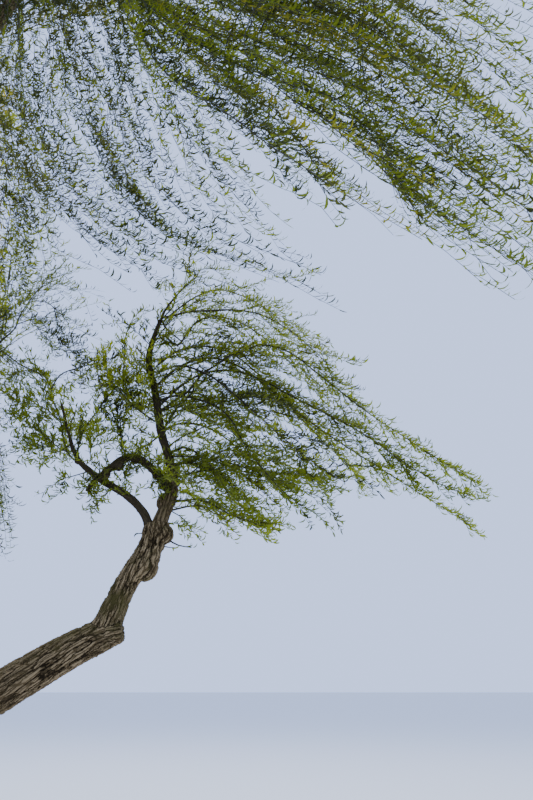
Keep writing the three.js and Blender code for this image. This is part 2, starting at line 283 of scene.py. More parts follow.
class GeometryTree(Nodes):
    """A Geometry Nodes tree with named inputs."""

    def __init__(self, name: str, inputs: dict[str, str]) -> None:
        """Starts the tree.

        Args:
            name: The tree's name.
            inputs: Name of each input after the geometry, with the kind of its socket.
        """
        super().__init__(bpy.data.node_groups.new(name, "GeometryNodeTree"))
        ends = self.tree.interface
        ends.new_socket("Geometry", in_out="INPUT", socket_type="NodeSocketGeometry")
        for label, kind in inputs.items():
            ends.new_socket(label, in_out="INPUT", socket_type=f"NodeSocket{kind}")
        ends.new_socket("Geometry", in_out="OUTPUT", socket_type="NodeSocketGeometry")
        self.start = self.add("NodeGroupInput")

    def input(self, name: str) -> Signal:
        """One of the tree's named inputs."""
        return self.start.other(name)

    def attribute(self, name: str, kind: str = "FLOAT") -> Signal:
        """A named attribute of the geometry."""
        return self.add("GeometryNodeInputNamedAttribute", {"data_type": kind}, {"Name": name})

    def random(self, low: Any, high: Any, salt: int, kind: str = "FLOAT") -> Signal:
        """A random value for each element.

        Args:
            low: Lowest value.
            high: Highest value.
            salt: Added to the tree's Seed, so that draws differ.
            kind: FLOAT, INT or FLOAT_VECTOR.

        Returns:
            The random value.
        """
        return self.add("FunctionNodeRandomValue", {"data_type": kind},
                        {"Min": low, "Max": high, "Seed": self.input("Seed") + salt})

    def close(self, geometry: Signal, finish: str) -> None:
        """Ends the tree with plain meshes in one finish.

        Args:
            geometry: What the tree has made.
            finish: Name of the input that holds its material.
        """
        whole = self.add("GeometryNodeRealizeInstances", None, {"Geometry": geometry})
        dressed = self.add("GeometryNodeSetMaterial", None, {
            "Geometry": whole, "Material": self.input(finish)})
        self.add("NodeGroupOutput", None, {"Geometry": dressed})

    def apply(self, target: bpy.types.Object, values: dict[str, Any],
              name: str) -> bpy.types.Object:
        """Runs the tree on an object and hands back the result as a plain mesh.

        Args:
            target: Object to work on; it is deleted.
            values: Values of the named inputs.
            name: Name of the new object.

        Returns:
            The new object.
        """
        modifier = target.modifiers.new("shape", "NODES")
        modifier.node_group = self.tree
        sockets = {item.name: item.identifier for item in self.tree.interface.items_tree
                   if item.in_out == "INPUT"}
        for label, value in values.items():
            modifier[sockets[label]] = value
        return settled(target, name)


# Meshes


def linked(name: str, data: bpy.types.ID) -> bpy.types.Object:
    """Shows some data as a new object in the scene.

    Args:
        name: Name of the object.
        data: Its mesh, camera or light.

    Returns:
        The object.
    """
    made = bpy.data.objects.new(name, data)
    bpy.context.collection.objects.link(made)
    return made


def mesh_object(name: str, points: Array, faces: Sequence[Sequence[int]] = (),
                edges: Sequence[Sequence[int]] = ()) -> bpy.types.Object:
    """A mesh object in the scene.

    Args:
        name: Name of the object and its mesh.
        points: Places of the vertices.
        faces: Vertex numbers of each face.
        edges: Vertex numbers of each loose edge.

    Returns:
        The object.
    """
    mesh = bpy.data.meshes.new(name)
    mesh.from_pydata(np.asarray(points).tolist(), edges, faces)
    mesh.update()
    return linked(name, mesh)


def delete(target: bpy.types.Object) -> None:
    """Removes an object and its mesh.

    Args:
        target: The object.
    """
    mesh = target.data
    bpy.data.objects.remove(target)
    if mesh.users == 0:
        bpy.data.meshes.remove(mesh)


def settled(target: bpy.types.Object, name: str) -> bpy.types.Object:
    """An object's evaluated mesh as a plain object of its own.

    Args:
        target: Object with modifiers; it is deleted.
        name: Name of the new object.

    Returns:
        The new object.
    """
    graph = bpy.context.evaluated_depsgraph_get()
    shown = target.evaluated_get(graph)
    mesh = bpy.data.meshes.new_from_object(shown, preserve_all_data_layers=True, depsgraph=graph)
    delete(target)
    mesh.name = name
    return linked(name, mesh)


def vectors_of(items: bpy.types.bpy_prop_collection, name: str) -> Array:
    """Reads one vector from each item of a mesh.

    Args:
        items: The mesh's vertices or normals.
        name: Name of the vector that they hold.

    Returns:
        One row for each item.
    """
    flat = np.empty(3 * len(items), np.float32)
    items.foreach_get(name, flat)
    return flat.reshape(-1, 3).astype(float)


def write_attribute(target: bpy.types.Object, name: str, kind: str, values: Array) -> None:
    """Stores one value or vector for each vertex.

    Args:
        target: Object whose mesh is written.
        name: Name of the attribute.
        kind: FLOAT or FLOAT_VECTOR.
        values: One row for each vertex.
    """
    layer = target.data.attributes.new(name, kind, "POINT")
    layer.data.foreach_set("vector" if kind == "FLOAT_VECTOR" else "value",
                           np.ascontiguousarray(values, np.float32).ravel())


def triangles_of(target: bpy.types.Object) -> int:
    """How many triangles an object's mesh has."""
    target.data.calc_loop_triangles()
    return len(target.data.loop_triangles)


def unit(vectors: Array) -> Array:
    """Vectors at length one."""
    return vectors / np.maximum(np.linalg.norm(vectors, axis=-1, keepdims=True), 1e-12)


def smooth_line(stops: Array, spacing: float) -> Array:
    """A smooth line through stops, whose columns may hold more than a place.

    Args:
        stops: Rows of x, y, z and whatever else runs along the line.
        spacing: Wanted distance between two points of the line.

    Returns:
        Rows like those given, close together.
    """
    stops = np.asarray(stops, float)
    before = np.vstack((2 * stops[0] - stops[1], stops[:-1]))[:-1]
    after = np.vstack((stops[2:], 2 * stops[-1] - stops[-2]))
    rows = []
    for p0, p1, p2, p3 in zip(before, stops[:-1], stops[1:], after):
        pairs = ((p0, p1), (p1, p2), (p2, p3))
        gaps = [math.sqrt(np.linalg.norm((b - a)[:3])) + TINY for a, b in pairs]
        steps = max(2, round(gaps[1] ** 2 / spacing))
        share = np.arange(steps)[:, None] / steps
        out = (p1 - p0) / gaps[0] - (p2 - p0) / (gaps[0] + gaps[1]) + (p2 - p1) / gaps[1]
        into = (p2 - p1) / gaps[1] - (p3 - p1) / (gaps[1] + gaps[2]) + (p3 - p2) / gaps[2]
        out, into = out * gaps[1], into * gaps[1]
        rows.append(p1 + out * share + (3 * (p2 - p1) - 2 * out - into) * share**2
                    + (2 * (p1 - p2) + out + into) * share**3)
    return np.vstack((*rows, stops[-1:]))


# Finishes

MEAN_HEIGHT = 0.62
SWAY_STRENGTH = 1.9
FINE_STRENGTH = 0.9


def furrow_relief(nodes: Nodes, grain: Signal, wraps: Sequence[Signal], girth: Signal, width: Any,
                  stretch: float) -> Signal:
    """The height of furrowed bark, the same in the mesh and in its material.

    Args:
        nodes: Tree to build in.
        grain: Place across and along the limb.
        wraps: Place round and along the limb, laid out from its two sides; the third value of
            the first is its own share.
        girth: Share of full bark, less on thin limbs.
        width: Distance between two furrows.
        stretch: How many times longer than wide the ridges are.

    Returns:
        Height between 0 at the bottom of a furrow and about 1 on a ridge.
    """
    sway = nodes.add("ShaderNodeTexNoise", None, {
        "Vector": grain.stretched(2.5), "Scale": 11.0, "Detail": 6.0, "Roughness": 0.66},
        out="Color")
    fine = nodes.noise(grain.stretched(2.5), 85.0, 4.0, 0.6)
    sides = []
    for wrap in wraps:
        heights = []
        for narrower, shorter, step, floor in ((1.0, 1.15, 0.18, 0.0), (2.0, 0.85, 0.20, 0.3)):
            scaled = wrap * (narrower / width) * (1.0, 1.0 / (shorter * stretch), 0.0)
            edge = nodes.add("ShaderNodeTexVoronoi", {
                "feature": "DISTANCE_TO_EDGE", "voronoi_dimensions": "2D"}, {
                "Vector": scaled + sway * SWAY_STRENGTH, "Scale": 1.0, "Randomness": 1.0})
            heights.append(nodes.ranged(edge, 0.0, step, floor, 1.0))
        sides.append(heights[0] * heights[1])
    own = nodes.add("ShaderNodeSeparateXYZ", None, {"Vector": wraps[0]}, out="Z")
    height = sides[1] + (sides[0] - sides[1]) * own + (fine - 0.5) * FINE_STRENGTH
    return (height - MEAN_HEIGHT) * girth + MEAN_HEIGHT


@dataclass(frozen=True)
class Finish:
    """A named finish, which each kind shades in its own way."""

    name: str

    def material(self) -> bpy.types.Material:
        """Makes the material.

        Returns:
            The material.
        """
        made = bpy.data.materials.new(self.name)
        made.use_nodes = True
        made.node_tree.nodes.clear()
        nodes = Nodes(made.node_tree)
        nodes.add("ShaderNodeOutputMaterial", None, {"Surface": self.shader(nodes)})
        return made

    def shader(self, nodes: Nodes) -> Signal:
        """The shader, which each kind of finish adds."""
        raise NotImplementedError


@dataclass(frozen=True)
class BarkFinish(Finish):
    """Furrowed bark: grey-brown ridges, fissures darkened by their own bark and by painted shade,
    and moss where it is damp.
    """

    name: str = "furrowed_bark"
    width: float = 0.042
    stretch: float = 9.5
    ridge: Colour = (0.335, 0.236, 0.118)
    flank: Colour = (0.124, 0.082, 0.034)
    # Furrow colour: darker inner bark, deepened with painted shade.
    fissure_and_painted_shade: Colour = (0.016, 0.009, 0.002)
    moss: Colour = (0.082, 0.074, 0.014)
    bough: Colour = (0.036, 0.027, 0.013)
    fine_scale: float = 120.0
    bump: float = 0.007

    def shader(self, nodes: Nodes) -> Signal:
        """Mixes the colours by the relief, the limb's girth and the damp; the fissure colour in the
        low relief is partly painted shade.

        Args:
            nodes: Tree of the material.

        Returns:
            The shader.
        """
        grain, *wraps = (nodes.layer(name, "Vector") for name in ("grain", *WRAPS))
        girth, damp = nodes.layer("girth"), nodes.layer("damp")
        height = furrow_relief(nodes, grain, wraps, girth, self.width, self.stretch)
        fine = nodes.noise(grain.stretched(2.0), self.fine_scale, 3.0, 0.6)
        broad = nodes.noise(grain, 4.0, 3.0)
        blotch = nodes.noise(grain.stretched(1.6), 19.0, 4.0, 0.65)
        # Low relief takes the fissure colour: real darker bark plus painted shade in the furrows.
        colour = nodes.mix(nodes.ranged(height, 0.08, 0.40), self.fissure_and_painted_shade, self.flank)
        worn = nodes.ranged(height + (fine - 0.5) * 0.5, 0.45, 1.12)
        colour = nodes.mix(worn, colour, self.ridge)
        colour = nodes.mix(nodes.ranged(broad, 0.40, 0.72) * 0.45, colour, self.flank)
        colour = nodes.mix(nodes.ranged(girth, 0.95, 0.42) * 0.88, colour, self.bough)
        mossy = nodes.ranged(blotch * 0.55 + broad * 0.45 + damp * 0.34, 0.60, 0.86)
        colour = nodes.mix(mossy * 0.5, colour, self.moss)
        rough = nodes.ranged(fine, 0.2, 0.9, 0.84, 0.98)
        normal = nodes.add("ShaderNodeBump", None, {
            "Height": height, "Distance": self.bump, "Strength": 0.9})
        return nodes.add("ShaderNodeBsdfPrincipled", None, {
            "Base Color": colour, "Roughness": rough, "Normal": normal, "Specular IOR Level": 0.15})


@dataclass(frozen=True)
class LeafFinish(Finish):
    """A young willow leaf, which lets some of the light through."""

    face: Colour
    glow: Colour
    translucence: float = 0.42
    roughness: float = 0.5
    gloss: float = 0.12

    def shader(self, nodes: Nodes) -> Signal:
        """Mixes the blade's own colour with the light that comes through it.

        Args:
            nodes: Tree of the material.

        Returns:
            The shader.
        """
        blade = nodes.add("ShaderNodeBsdfPrincipled", None, {
            "Base Color": self.face, "Roughness": self.roughness, "Specular IOR Level": self.gloss})
        through = nodes.add("ShaderNodeBsdfTranslucent", None, {"Color": self.glow})
        return nodes.add("ShaderNodeMixShader", None, {0: self.translucence, 1: blade, 2: through})


@dataclass(frozen=True)
class TwigFinish(Finish):
    """Smooth young bark of twigs and shoots."""

    name: str = "shoot_bark"
    colour: Colour = (0.046, 0.038, 0.018)
    roughness: float = 0.6
    gloss: float = 0.3

    def shader(self, nodes: Nodes) -> Signal:
        """One plain shader."""
        return nodes.add("ShaderNodeBsdfPrincipled", None, {
            "Base Color": self.colour, "Roughness": self.roughness,
            "Specular IOR Level": self.gloss})


@dataclass(frozen=True)
class FloorFinish(Finish):
    """Plain pale studio floor."""

    name: str = "pale_floor"
    colour: Colour = (0.72, 0.73, 0.74)
    faint: Colour = (0.6, 0.6, 0.6)

    def shader(self, nodes: Nodes) -> Signal:
        """Shades the floor, all but evenly.

        Args:
            nodes: Tree of the material.

        Returns:
            The shader.
        """
        place = nodes.add("ShaderNodeTexCoord", out="Object")
        shade = nodes.ranged(nodes.noise(place, 0.6, 3.0), 0.3, 0.7, 0.985, 1.0)
        return nodes.add("ShaderNodeBsdfPrincipled", None, {
            "Base Color": nodes.mix(shade, self.faint, self.colour), "Roughness": 0.9})


class Tint(Enum):
    """Colour of a spray's leaves; the third tint is a dark green that is painted shade for backlit
    leaves seen from below.
    """

    FRESH = 0
    MID = 1
    # Painted shade: dark leaves that stand for backlit, shaded foliage.
    DEEP = 2
    OLIVE = 3
    GOLD = 4


LEAF_FINISHES = {
    Tint.FRESH: LeafFinish("leaf_fresh", (0.222, 0.256, 0.024), (0.425, 0.475, 0.022)),
    Tint.MID: LeafFinish("leaf_mid", (0.144, 0.172, 0.020), (0.280, 0.325, 0.018)),
    # Dark, barely lit green on both face and glow: painted shade, not a leaf colour of its own.
    Tint.DEEP: LeafFinish("leaf_deep", (0.044, 0.052, 0.012), (0.070, 0.083, 0.011)),
    Tint.OLIVE: LeafFinish("leaf_olive", (0.090, 0.092, 0.018), (0.172, 0.174, 0.017)),
    Tint.GOLD: LeafFinish("leaf_gold", (0.280, 0.250, 0.028), (0.490, 0.440, 0.028)),
}


# Limbs


@dataclass(frozen=True)
class Limb:
    """A tapering limb through its stations.

    The stations are x, y, z and the radius there in millimetres, one after the other.
    """

    stations: tuple[int, ...]
    footed: bool = False
    ROOT_LOBES = 6
    LOBE_DEPTH = 0.16
    LOBE_HEIGHT = 0.26
    LOBE_TURN = 0.6
    LOBE_HOLLOW = -0.4

    def axis(self, spacing: float = 0.05) -> Array:
        """Rows of x, y, z and radius along the limb."""
        return smooth_line(np.reshape(self.stations, (-1, 4)) / MILLIMETRES, spacing)

    def frames(self, axis: Array) -> tuple[Array, Array, Array]:
        """Directions along and across the limb, turning as little as they can.

        Args:
            axis: Rows from axis().

        Returns:
            The directions along, across, and square to both.
        """
        along = unit(np.gradient(axis[:, :3], axis=0))
        across = np.empty_like(along)
        side = np.array((0.0, 1.0, 0.0))
        for number, way in enumerate(along):
            side = unit(side - way * side.dot(way))
            across[number] = side
        return along, across, np.cross(along, across)

    def lobes(self, angle: Array, height: Array) -> Array:
        """How far the root lobes stand out, as a share of the radius.

        Args:
            angle: Angles round the limb.
            height: Heights above the ground.

        Returns:
            The share for each angle and height.
        """
        fade = np.exp(-np.maximum(height, 0.0) / self.LOBE_HEIGHT)
        return self.LOBE_DEPTH * fade * np.maximum(
            np.cos(self.ROOT_LOBES * angle + self.LOBE_TURN), self.LOBE_HOLLOW)

    def tube(self, sides: int, seed: int) -> tuple[Array, list[tuple[int, ...]]]:
        """The limb as a closed tube.

        Args:
            sides: Sides of its cross-section.
            seed: Number that sets its unevenness.

        Returns:
            Its points and faces.
        """
        axis = self.axis()
        along, across, third = self.frames(axis)
        turn = 2 * np.pi * np.arange(sides) / sides
        run = np.linspace(0.0, 1.0, len(axis))[:, None]
        swell = (1 + 0.05 * np.sin(2 * turn + seed + 7 * run) + 0.03 * np.sin(3 * turn - 11 * run))
        if self.footed:
            swell = swell + self.lobes(turn[None, :], axis[:, 2:3])
        reach = (axis[:, 3:4] * swell)[:, :, None]
        rings = (axis[:, None, :3] + reach * (across[:, None] * np.cos(turn)[None, :, None]
                                              + third[:, None] * np.sin(turn)[None, :, None]))
        faces: list[tuple[int, ...]] = [tuple(range(sides))[::-1]]
        for ring in range(len(axis) - 1):
            low = ring * sides
            faces += [(low + i, low + (i + 1) % sides, low + sides + (i + 1) % sides,
                       low + sides + i) for i in range(sides)]
        faces.append(tuple((len(axis) - 1) * sides + i for i in range(sides)))
        return rings.reshape(-1, 3), faces


LIMBS = {
    "trunk": Limb((0, 0, -400, 490, 0, 0, 0, 430, 40, 0, 330, 335, 250, 0, 700, 262, 900, 0, 1160,
        195, 1649, 0, 1572, 163, 2255, 0, 1915, 148, 2470, 0, 2010, 138, 2640, 0, 2046, 88),
        footed=True),
    "trunk_leader": Limb((2410, 0, 1985, 128, 2490, 0, 2100, 122, 2601, 0, 2379, 100, 2684, 0,
        2554, 96, 2795, 0, 2760, 96, 2845, 0, 2985, 88)),
    "main_stem": Limb((-20, 20, -300, 300, -20, 20, 300, 285, -170, 40, 900, 262, -400, 60, 1900,
        220, -480, 50, 3000, 190, -380, -20, 4200, 160, -120, -180, 5400, 132), footed=True),
    "upright_leader": Limb((2820, 0, 2820, 70, 2925, 0, 3100, 68, 2982, 0, 3290, 64, 2972, 0, 3530,
        48, 2841, 0, 3937, 40, 2750, 0, 4371, 37, 2654, 0, 4771, 33, 2742, 0, 5242, 23)),
    "lower_left_bough": Limb((2830, 0, 2840, 50, 2750, 0, 3081, 42, 2572, 0, 3266, 38, 2285, 0,
        3436, 33, 2045, 0, 3640, 25, 1900, 0, 3960, 16, 1800, 0, 4240, 13)),
    "arching_bough": Limb((2972, 0, 3300, 36, 2860, -25, 3450, 38, 2750, -60, 3560, 35, 2615, -90,
        3630, 35, 2495, -110, 3585, 38, 2370, -115, 3475, 34, 2245, -115, 3345, 28, 2200, -110,
        3280, 15)),
    "tip_branch": Limb((2735, 0, 5205, 18, 2790, 0, 5380, 13, 2913, 0, 5582, 10, 3069, 0, 5790, 7)),
    "over_bough": Limb((-140, -165, 5330, 112, 110, -480, 6700, 96, 480, -880, 8000, 82, 1100,
        -1310, 8800, 66, 2000, -1700, 8950, 56, 3000, -2040, 8500, 46, 4100, -2420, 8060, 36, 4800,
        -2690, 7740, 26)),
    "top_bough": Limb((-200, -130, 5150, 84, -560, 60, 6500, 72, -800, 220, 7700, 56, -650, 250,
        8800, 36)),
    "left_bough": Limb((-480, 40, 3150, 104, -1050, -60, 4500, 90, -1700, -120, 5750, 74, -2280,
        -160, 6500, 60, -2700, -190, 6780, 46, -3250, -220, 6830, 30)),
    "front_bough": Limb((-400, -10, 4050, 92, -700, -850, 5350, 76, -800, -1850, 6550, 56, -720,
        -2800, 6980, 34)),
    "back_bough": Limb((-430, 40, 3750, 92, -760, 950, 5150, 76, -960, 1950, 6350, 56, -880, 2850,
        6720, 34)),
    "front_left_bough": Limb((-480, 30, 2750, 92, -1300, -900, 4500, 76, -2050, -1750, 5950, 54,
        -2450, -2300, 6380, 34)),
    "back_left_bough": Limb((-490, 70, 2900, 92, -1350, 1000, 4700, 76, -2100, 1800, 6050, 54,
        -2600, 2350, 6420, 34)),
    "inner_right_bough": Limb((-380, -10, 4150, 62, 300, 40, 4480, 50, 850, 50, 4740, 26, 1100, 50,
        4980, 11, 1160, 50, 5160, 8)),
}


@dataclass(frozen=True)
class Burr:
    """A round swelling on a limb."""

    centre: Point
    radius: float


@dataclass
class BarkSkin:
    """One skin over several limbs, with furrows in its surface."""

    name: str
    limbs: tuple[str, ...]
    nodes: tuple[str, ...]
    voxel: float
    furrow: float = 0.042
    depth: float = 0.018
    stretch: float = 9.5
    soft: int = 6
    burrs: tuple[Burr, ...] = ()
    sides: int = 28
    seed: int = 1
    axes: list[tuple[Array, Array, Array, Array]] = field(default_factory=list)
    LIMB_SHIFT = 7.3
    SIDE_SHIFT = 40.0
    SLANT = 0.12
    BLEND = 1.6
    FULL_GIRTH = 0.085
    LEAST_GIRTH = 0.16
    DAMP_BEND = (2.62, 0.0, 2.3)
    DAMP_REACH = 0.45
    BLOCK = 4000

    def _united(self) -> bpy.types.Object:
        """Unites the limbs and burrs.

        Returns:
            One closed mesh of even, small faces.
        """
        points, faces = [], []
        for number, limb in enumerate(LIMBS[name] for name in self.limbs):
            places, rings = limb.tube(self.sides, number)
            base = sum(len(p) for p in points)
            points.append(places)
            faces += [tuple(base + i for i in face) for face in rings]
            axis = limb.axis()
            self.axes.append((axis, *limb.frames(axis)))
        united = mesh_object(self.name, np.vstack(points), faces)
        body = bmesh.new()
        body.from_mesh(united.data)
        for burr in self.burrs:
            made = bmesh.ops.create_icosphere(body, subdivisions=3, radius=burr.radius)["verts"]
            bmesh.ops.translate(body, verts=made, vec=burr.centre)
        bmesh.ops.recalc_face_normals(body, faces=body.faces)
        body.to_mesh(united.data)
        body.free()
        remesh = united.modifiers.new("unite", "REMESH")
        remesh.mode = "VOXEL"
        remesh.voxel_size = self.voxel
        soften = united.modifiers.new("soften", "SMOOTH")
        soften.factor = 0.5
        soften.iterations = self.soft
        return settled(united, self.name)

    def _local(self, places: Array) -> tuple[Array, Array]:
        """Where vertices lie on their limb.

        Args:
            places: Vertices in the row frame.

        Returns:
            Their place across and along their limb, and its radius there.
        """
        centres = np.vstack([axis[:, :3] for axis, *_ in self.axes])
        radii = np.hstack([axis[:, 3] for axis, *_ in self.axes])
        ways = [np.vstack([frames[k] for frames in self.axes]) for k in (1, 2, 3)]
        runs = np.hstack([number * self.LIMB_SHIFT + np.r_[0, np.cumsum(np.linalg.norm(
            np.diff(axis[:, :3], axis=0), axis=1))] for number, (axis, *_) in enumerate(self.axes)])
        nearest = np.empty(len(places), int)
        for first in range(0, len(places), self.BLOCK):
            block = slice(first, first + self.BLOCK)
            gaps = np.linalg.norm(places[block, None] - centres[None], axis=2) - radii
            nearest[block] = gaps.argmin(axis=1)
        offset = places - centres[nearest]
        parts = [np.einsum("ij,ij->i", offset, way[nearest]) for way in ways]
        return np.column_stack((parts[1], parts[2], runs[nearest] + parts[0])), radii[nearest]

    def _wraps(self, grain: Array, radii: Array) -> tuple[Array, Array]:
        """Places round and along the limbs, laid out from two sides so that no seam shows.

        Args:
            grain: Places across and along the limbs.
            radii: The limbs' radii there.

        Returns:
            The layout from each side; the third value of the first is its own share.
        """
        across, aside, run = grain.T
        gap = np.maximum(np.hypot(across, aside), TINY)
        own = np.clip(0.5 + self.BLEND * across / gap, 0.0, 1.0)
        near, far = np.arctan2(aside, across) * radii, np.arctan2(-aside, -across) * radii
        slant = self.SLANT * run
        return (np.column_stack((near + slant, run, own)),
                np.column_stack((far + slant + self.SIDE_SHIFT, run, np.zeros(len(run)))))

    def _relief(self) -> GeometryTree:
        """Builds the tree that raises ridges between furrows.

        Returns:
            The tree.
        """
        tree = GeometryTree(f"{self.name}_relief", {
            "Furrow Width": "Float", "Furrow Depth": "Float", "Bark": "Material"})
        grain = tree.attribute("grain", "FLOAT_VECTOR")
        girth = tree.attribute("girth")
        width = tree.input("Furrow Width")
        wraps = tuple(tree.attribute(name, "FLOAT_VECTOR") for name in WRAPS)
        height = furrow_relief(tree, grain, wraps, girth, width, self.stretch)
        normal = tree.add("GeometryNodeInputNormal")
        lift = normal * ((height - MEAN_HEIGHT) * tree.input("Furrow Depth"))
        moved = tree.add("GeometryNodeSetPosition", None, {
            "Geometry": tree.start, "Offset": lift})
        tree.close(tree.add("GeometryNodeSetShadeSmooth", None, {"Geometry": moved}), "Bark")
        return tree

    def _cut_level(self, target: bpy.types.Object) -> None:
        """Cuts the skin flat at the ground.

        Args:
            target: The skin, which is changed.
        """
        body = bmesh.new()
        body.from_mesh(target.data)
        everything = body.verts[:] + body.edges[:] + body.faces[:]
        cut = bmesh.ops.bisect_plane(body, geom=everything, plane_co=(0, 0, 0), plane_no=(0, 0, 1),
                                     clear_inner=True)["geom_cut"]
        rim = [e for e in cut if isinstance(e, bmesh.types.BMEdge)]
        if rim:
            bmesh.ops.holes_fill(body, edges=rim, sides=0)
            bmesh.ops.triangulate(body, faces=[f for f in body.faces if len(f.verts) > 4])
        body.to_mesh(target.data)
        body.free()

    def build(self, bark: bpy.types.Material) -> bpy.types.Object:
        """Builds the skin and dresses it.

        Args:
            bark: Its material.

        Returns:
            The finished piece.
        """
        skin = self._united()
        places = vectors_of(skin.data.vertices, "co")
        grain, radii = self._local(places)
        write_attribute(skin, "grain", "FLOAT_VECTOR", grain + self.seed)
        for name, wrap in zip(WRAPS, self._wraps(grain, radii)):
            write_attribute(skin, name, "FLOAT_VECTOR", wrap)
        girth = np.clip(radii / self.FULL_GIRTH, self.LEAST_GIRTH, 1.0)
        write_attribute(skin, "girth", "FLOAT", girth)
        normals = vectors_of(skin.data.vertex_normals, "vector")
        write_attribute(skin, "damp", "FLOAT", self._damp(places, radii, normals))
        made = self._relief().apply(skin, {"Furrow Width": self.furrow, "Furrow Depth": self.depth,
                                           "Bark": bark}, self.name)
        self._cut_level(made)
        return finished(made, self.nodes)

    def _damp(self, places: Array, radii: Array, normals: Array) -> Array:
        """How mossy the bark is: near the bend, on upper sides and on thin limbs.

        Args:
            places: The vertices.
            radii: Radii of the limbs there.
            normals: Directions in which the skin faces there.

        Returns:
            A share for each vertex.
        """
        gaps = np.linalg.norm(places - np.array(self.DAMP_BEND), axis=1)
        bend = np.exp(-gaps / self.DAMP_REACH)
        thin = np.clip((0.11 - radii) / 0.08, 0.0, 1.0)
        return np.clip(0.9 * bend + 0.15 * thin + 0.5 * np.clip(normals[:, 2], 0.0, 1.0), 0.0, 1.0)


# Foliage


@dataclass(frozen=True)
class Mass:
    """A swept mass of foliage between its root line and its tip line, in centimetres.

    Each line is the x, y and z of one end and then of the other. A place in the mass is
    (a, b, c): a runs along the root line, b from root to tip, and c through its thickness,
    from -1 to 1.
    """

    root: tuple[int, ...]
    tip: tuple[int, ...]
    bow: tuple[int, int, int]
    half: int
    BELLY = 0.45
    THIN_EDGE, SWELL, FIRST, SPAN, FULLNESS = 0.34, 0.66, 0.12, 0.86, 0.8

    def place(self, a: Any, b: Any, c: Any) -> Array:
        """Places in the row frame.

        Args:
            a: Shares along the root line.
            b: Shares of the way from root to tip.
            c: Shares of the half thickness.

        Returns:
            One row for each place.
        """
        a, b, c = (np.asarray(v, float)[..., None] for v in np.broadcast_arrays(a, b, c))
        root, tip = (np.reshape(line, (2, 3)) / CENTIMETRES for line in (self.root, self.tip))
        start, end = root[0] + (root[1] - root[0]) * a, tip[0] + (tip[1] - tip[0]) * a
        middle = start + (end - start) * self.BELLY + 2 * np.array(self.bow) / CENTIMETRES
        centre = (1 - b) ** 2 * start + 2 * b * (1 - b) * middle + b**2 * end
        along = 2 * (1 - b) * (middle - start) + 2 * b * (end - middle)
        root_way, tip_way = root[1] - root[0], tip[1] - tip[0]
        width = ((1 - b) ** 2 * root_way + 2 * b * (1 - b) * (0.55 * root_way + 0.45 * tip_way)
                 + b**2 * tip_way)
        phase = np.pi * np.clip(self.FIRST + self.SPAN * b, 0.0, 1.0)
        full = self.THIN_EDGE + self.SWELL * np.sin(phase) ** self.FULLNESS
        return centre + unit(np.cross(width, along)) * c * (self.half / CENTIMETRES) * full

    def length(self) -> float:
        """Length of its middle path."""
        path = self.place(0.5, np.linspace(0, 1, 12), 0.0)
        return float(np.linalg.norm(np.diff(path, axis=0), axis=1).sum())


@dataclass
class Sweep:
    """A stream of shoots along a course.

    The stops are x, y, z and half the stream's width in centimetres, one after the other.
    A place in it is (a, b, c): a runs across it, b along it, and c through its depth.
    """

    stops: tuple[int, ...]
    shoots: int = 0
    depth: float = 0.20

    def __post_init__(self) -> None:
        """Traces the course."""
        self.rows = smooth_line(np.reshape(self.stops, (-1, 4)) / CENTIMETRES, 0.05)
        self.runs = np.r_[0.0, np.cumsum(np.linalg.norm(np.diff(self.rows[:, :3], axis=0), axis=1))]
        self.along = unit(np.gradient(self.rows[:, :3], axis=0))
        self.sides = unit(np.cross(self.along, (0.0, 1.0, 0.0)))
        self.depths = np.cross(self.sides, self.along)

    def place(self, a: Any, b: Any, c: Any) -> Array:
        """Places in the row frame.

        Args:
            a: Shares across the stream.
            b: Shares along it; past 1 it runs straight on.
            c: Shares of its half depth.

        Returns:
            One row for each place.
        """
        a, b, c = (np.asarray(v, float) for v in np.broadcast_arrays(a, b, c))
        run = b * self.runs[-1]
        row = np.clip(np.searchsorted(self.runs, run), 0, len(self.runs) - 1)
        over = (run - self.runs[row])[..., None] * self.along[row]
        across = (2 * a - 1)[..., None] * self.rows[row, 3][..., None] * self.sides[row]
        return self.rows[row, :3] + over + across + c[..., None] * self.depth * self.depths[row]

    def length(self) -> float:
        """Length of its course."""
        return float(self.runs[-1])


@dataclass(frozen=True)
class Twig:
    """A twig, shoot or stem: its course, thickness and leafing."""

    course: Array
    radii: Array
    tint: Tint
    bare: float = 0.0


@dataclass(frozen=True)
class Habit:
    """How free shoots bend into the drift of wind and weight, which may change downwind."""

    drift: Point
    far_drift: Point | None = None
    near_x: float = 3.1
    far_x: float = 5.0
    pull: float = 2.2
    wander: float = 0.5

    def grow(self, rng: np.random.Generator, start: Array, heading: Array, length: float,
             step: float = 0.07, slack: float = 1.0) -> Array:
        """Grows one shoot.

        Args:
            rng: Source of its unevenness.
            start: Where it leaves its parent.
            heading: Direction in which it leaves.
            length: Its length.
            step: Distance between its points.
            slack: Share of the habit's pull that it feels.

        Returns:
            Its points.
        """
        count = max(3, round(length / step) + 1)
        gap = length / (count - 1)
        near = np.array(self.drift)
        far = np.array(self.far_drift if self.far_drift else self.drift)
        way = unit(np.asarray(heading, float))
        course = [np.asarray(start, float)]
        for _ in range(count - 1):
            share = np.clip((course[-1][0] - self.near_x) / (self.far_x - self.near_x), 0.0, 1.0)
            drift = unit(near + (far - near) * share)
            bend = (drift - way) * self.pull * slack * gap
            way = unit(way + bend + rng.normal(0.0, self.wander, 3) * gap)
            course.append(course[-1] + way * gap)
        return np.array(course)


class LimbIndex:
    """Finds the nearest point of the limbs."""

    def __init__(self, limbs: Sequence[str]) -> None:
        """Samples the named limbs."""
        self.rows = np.vstack([LIMBS[name].axis(0.08) for name in limbs])

    def nearest(self, place: Array) -> Array:
        """Row of x, y, z and radius of the nearest point."""
        return self.rows[np.linalg.norm(self.rows[:, :3] - place, axis=1).argmin()]


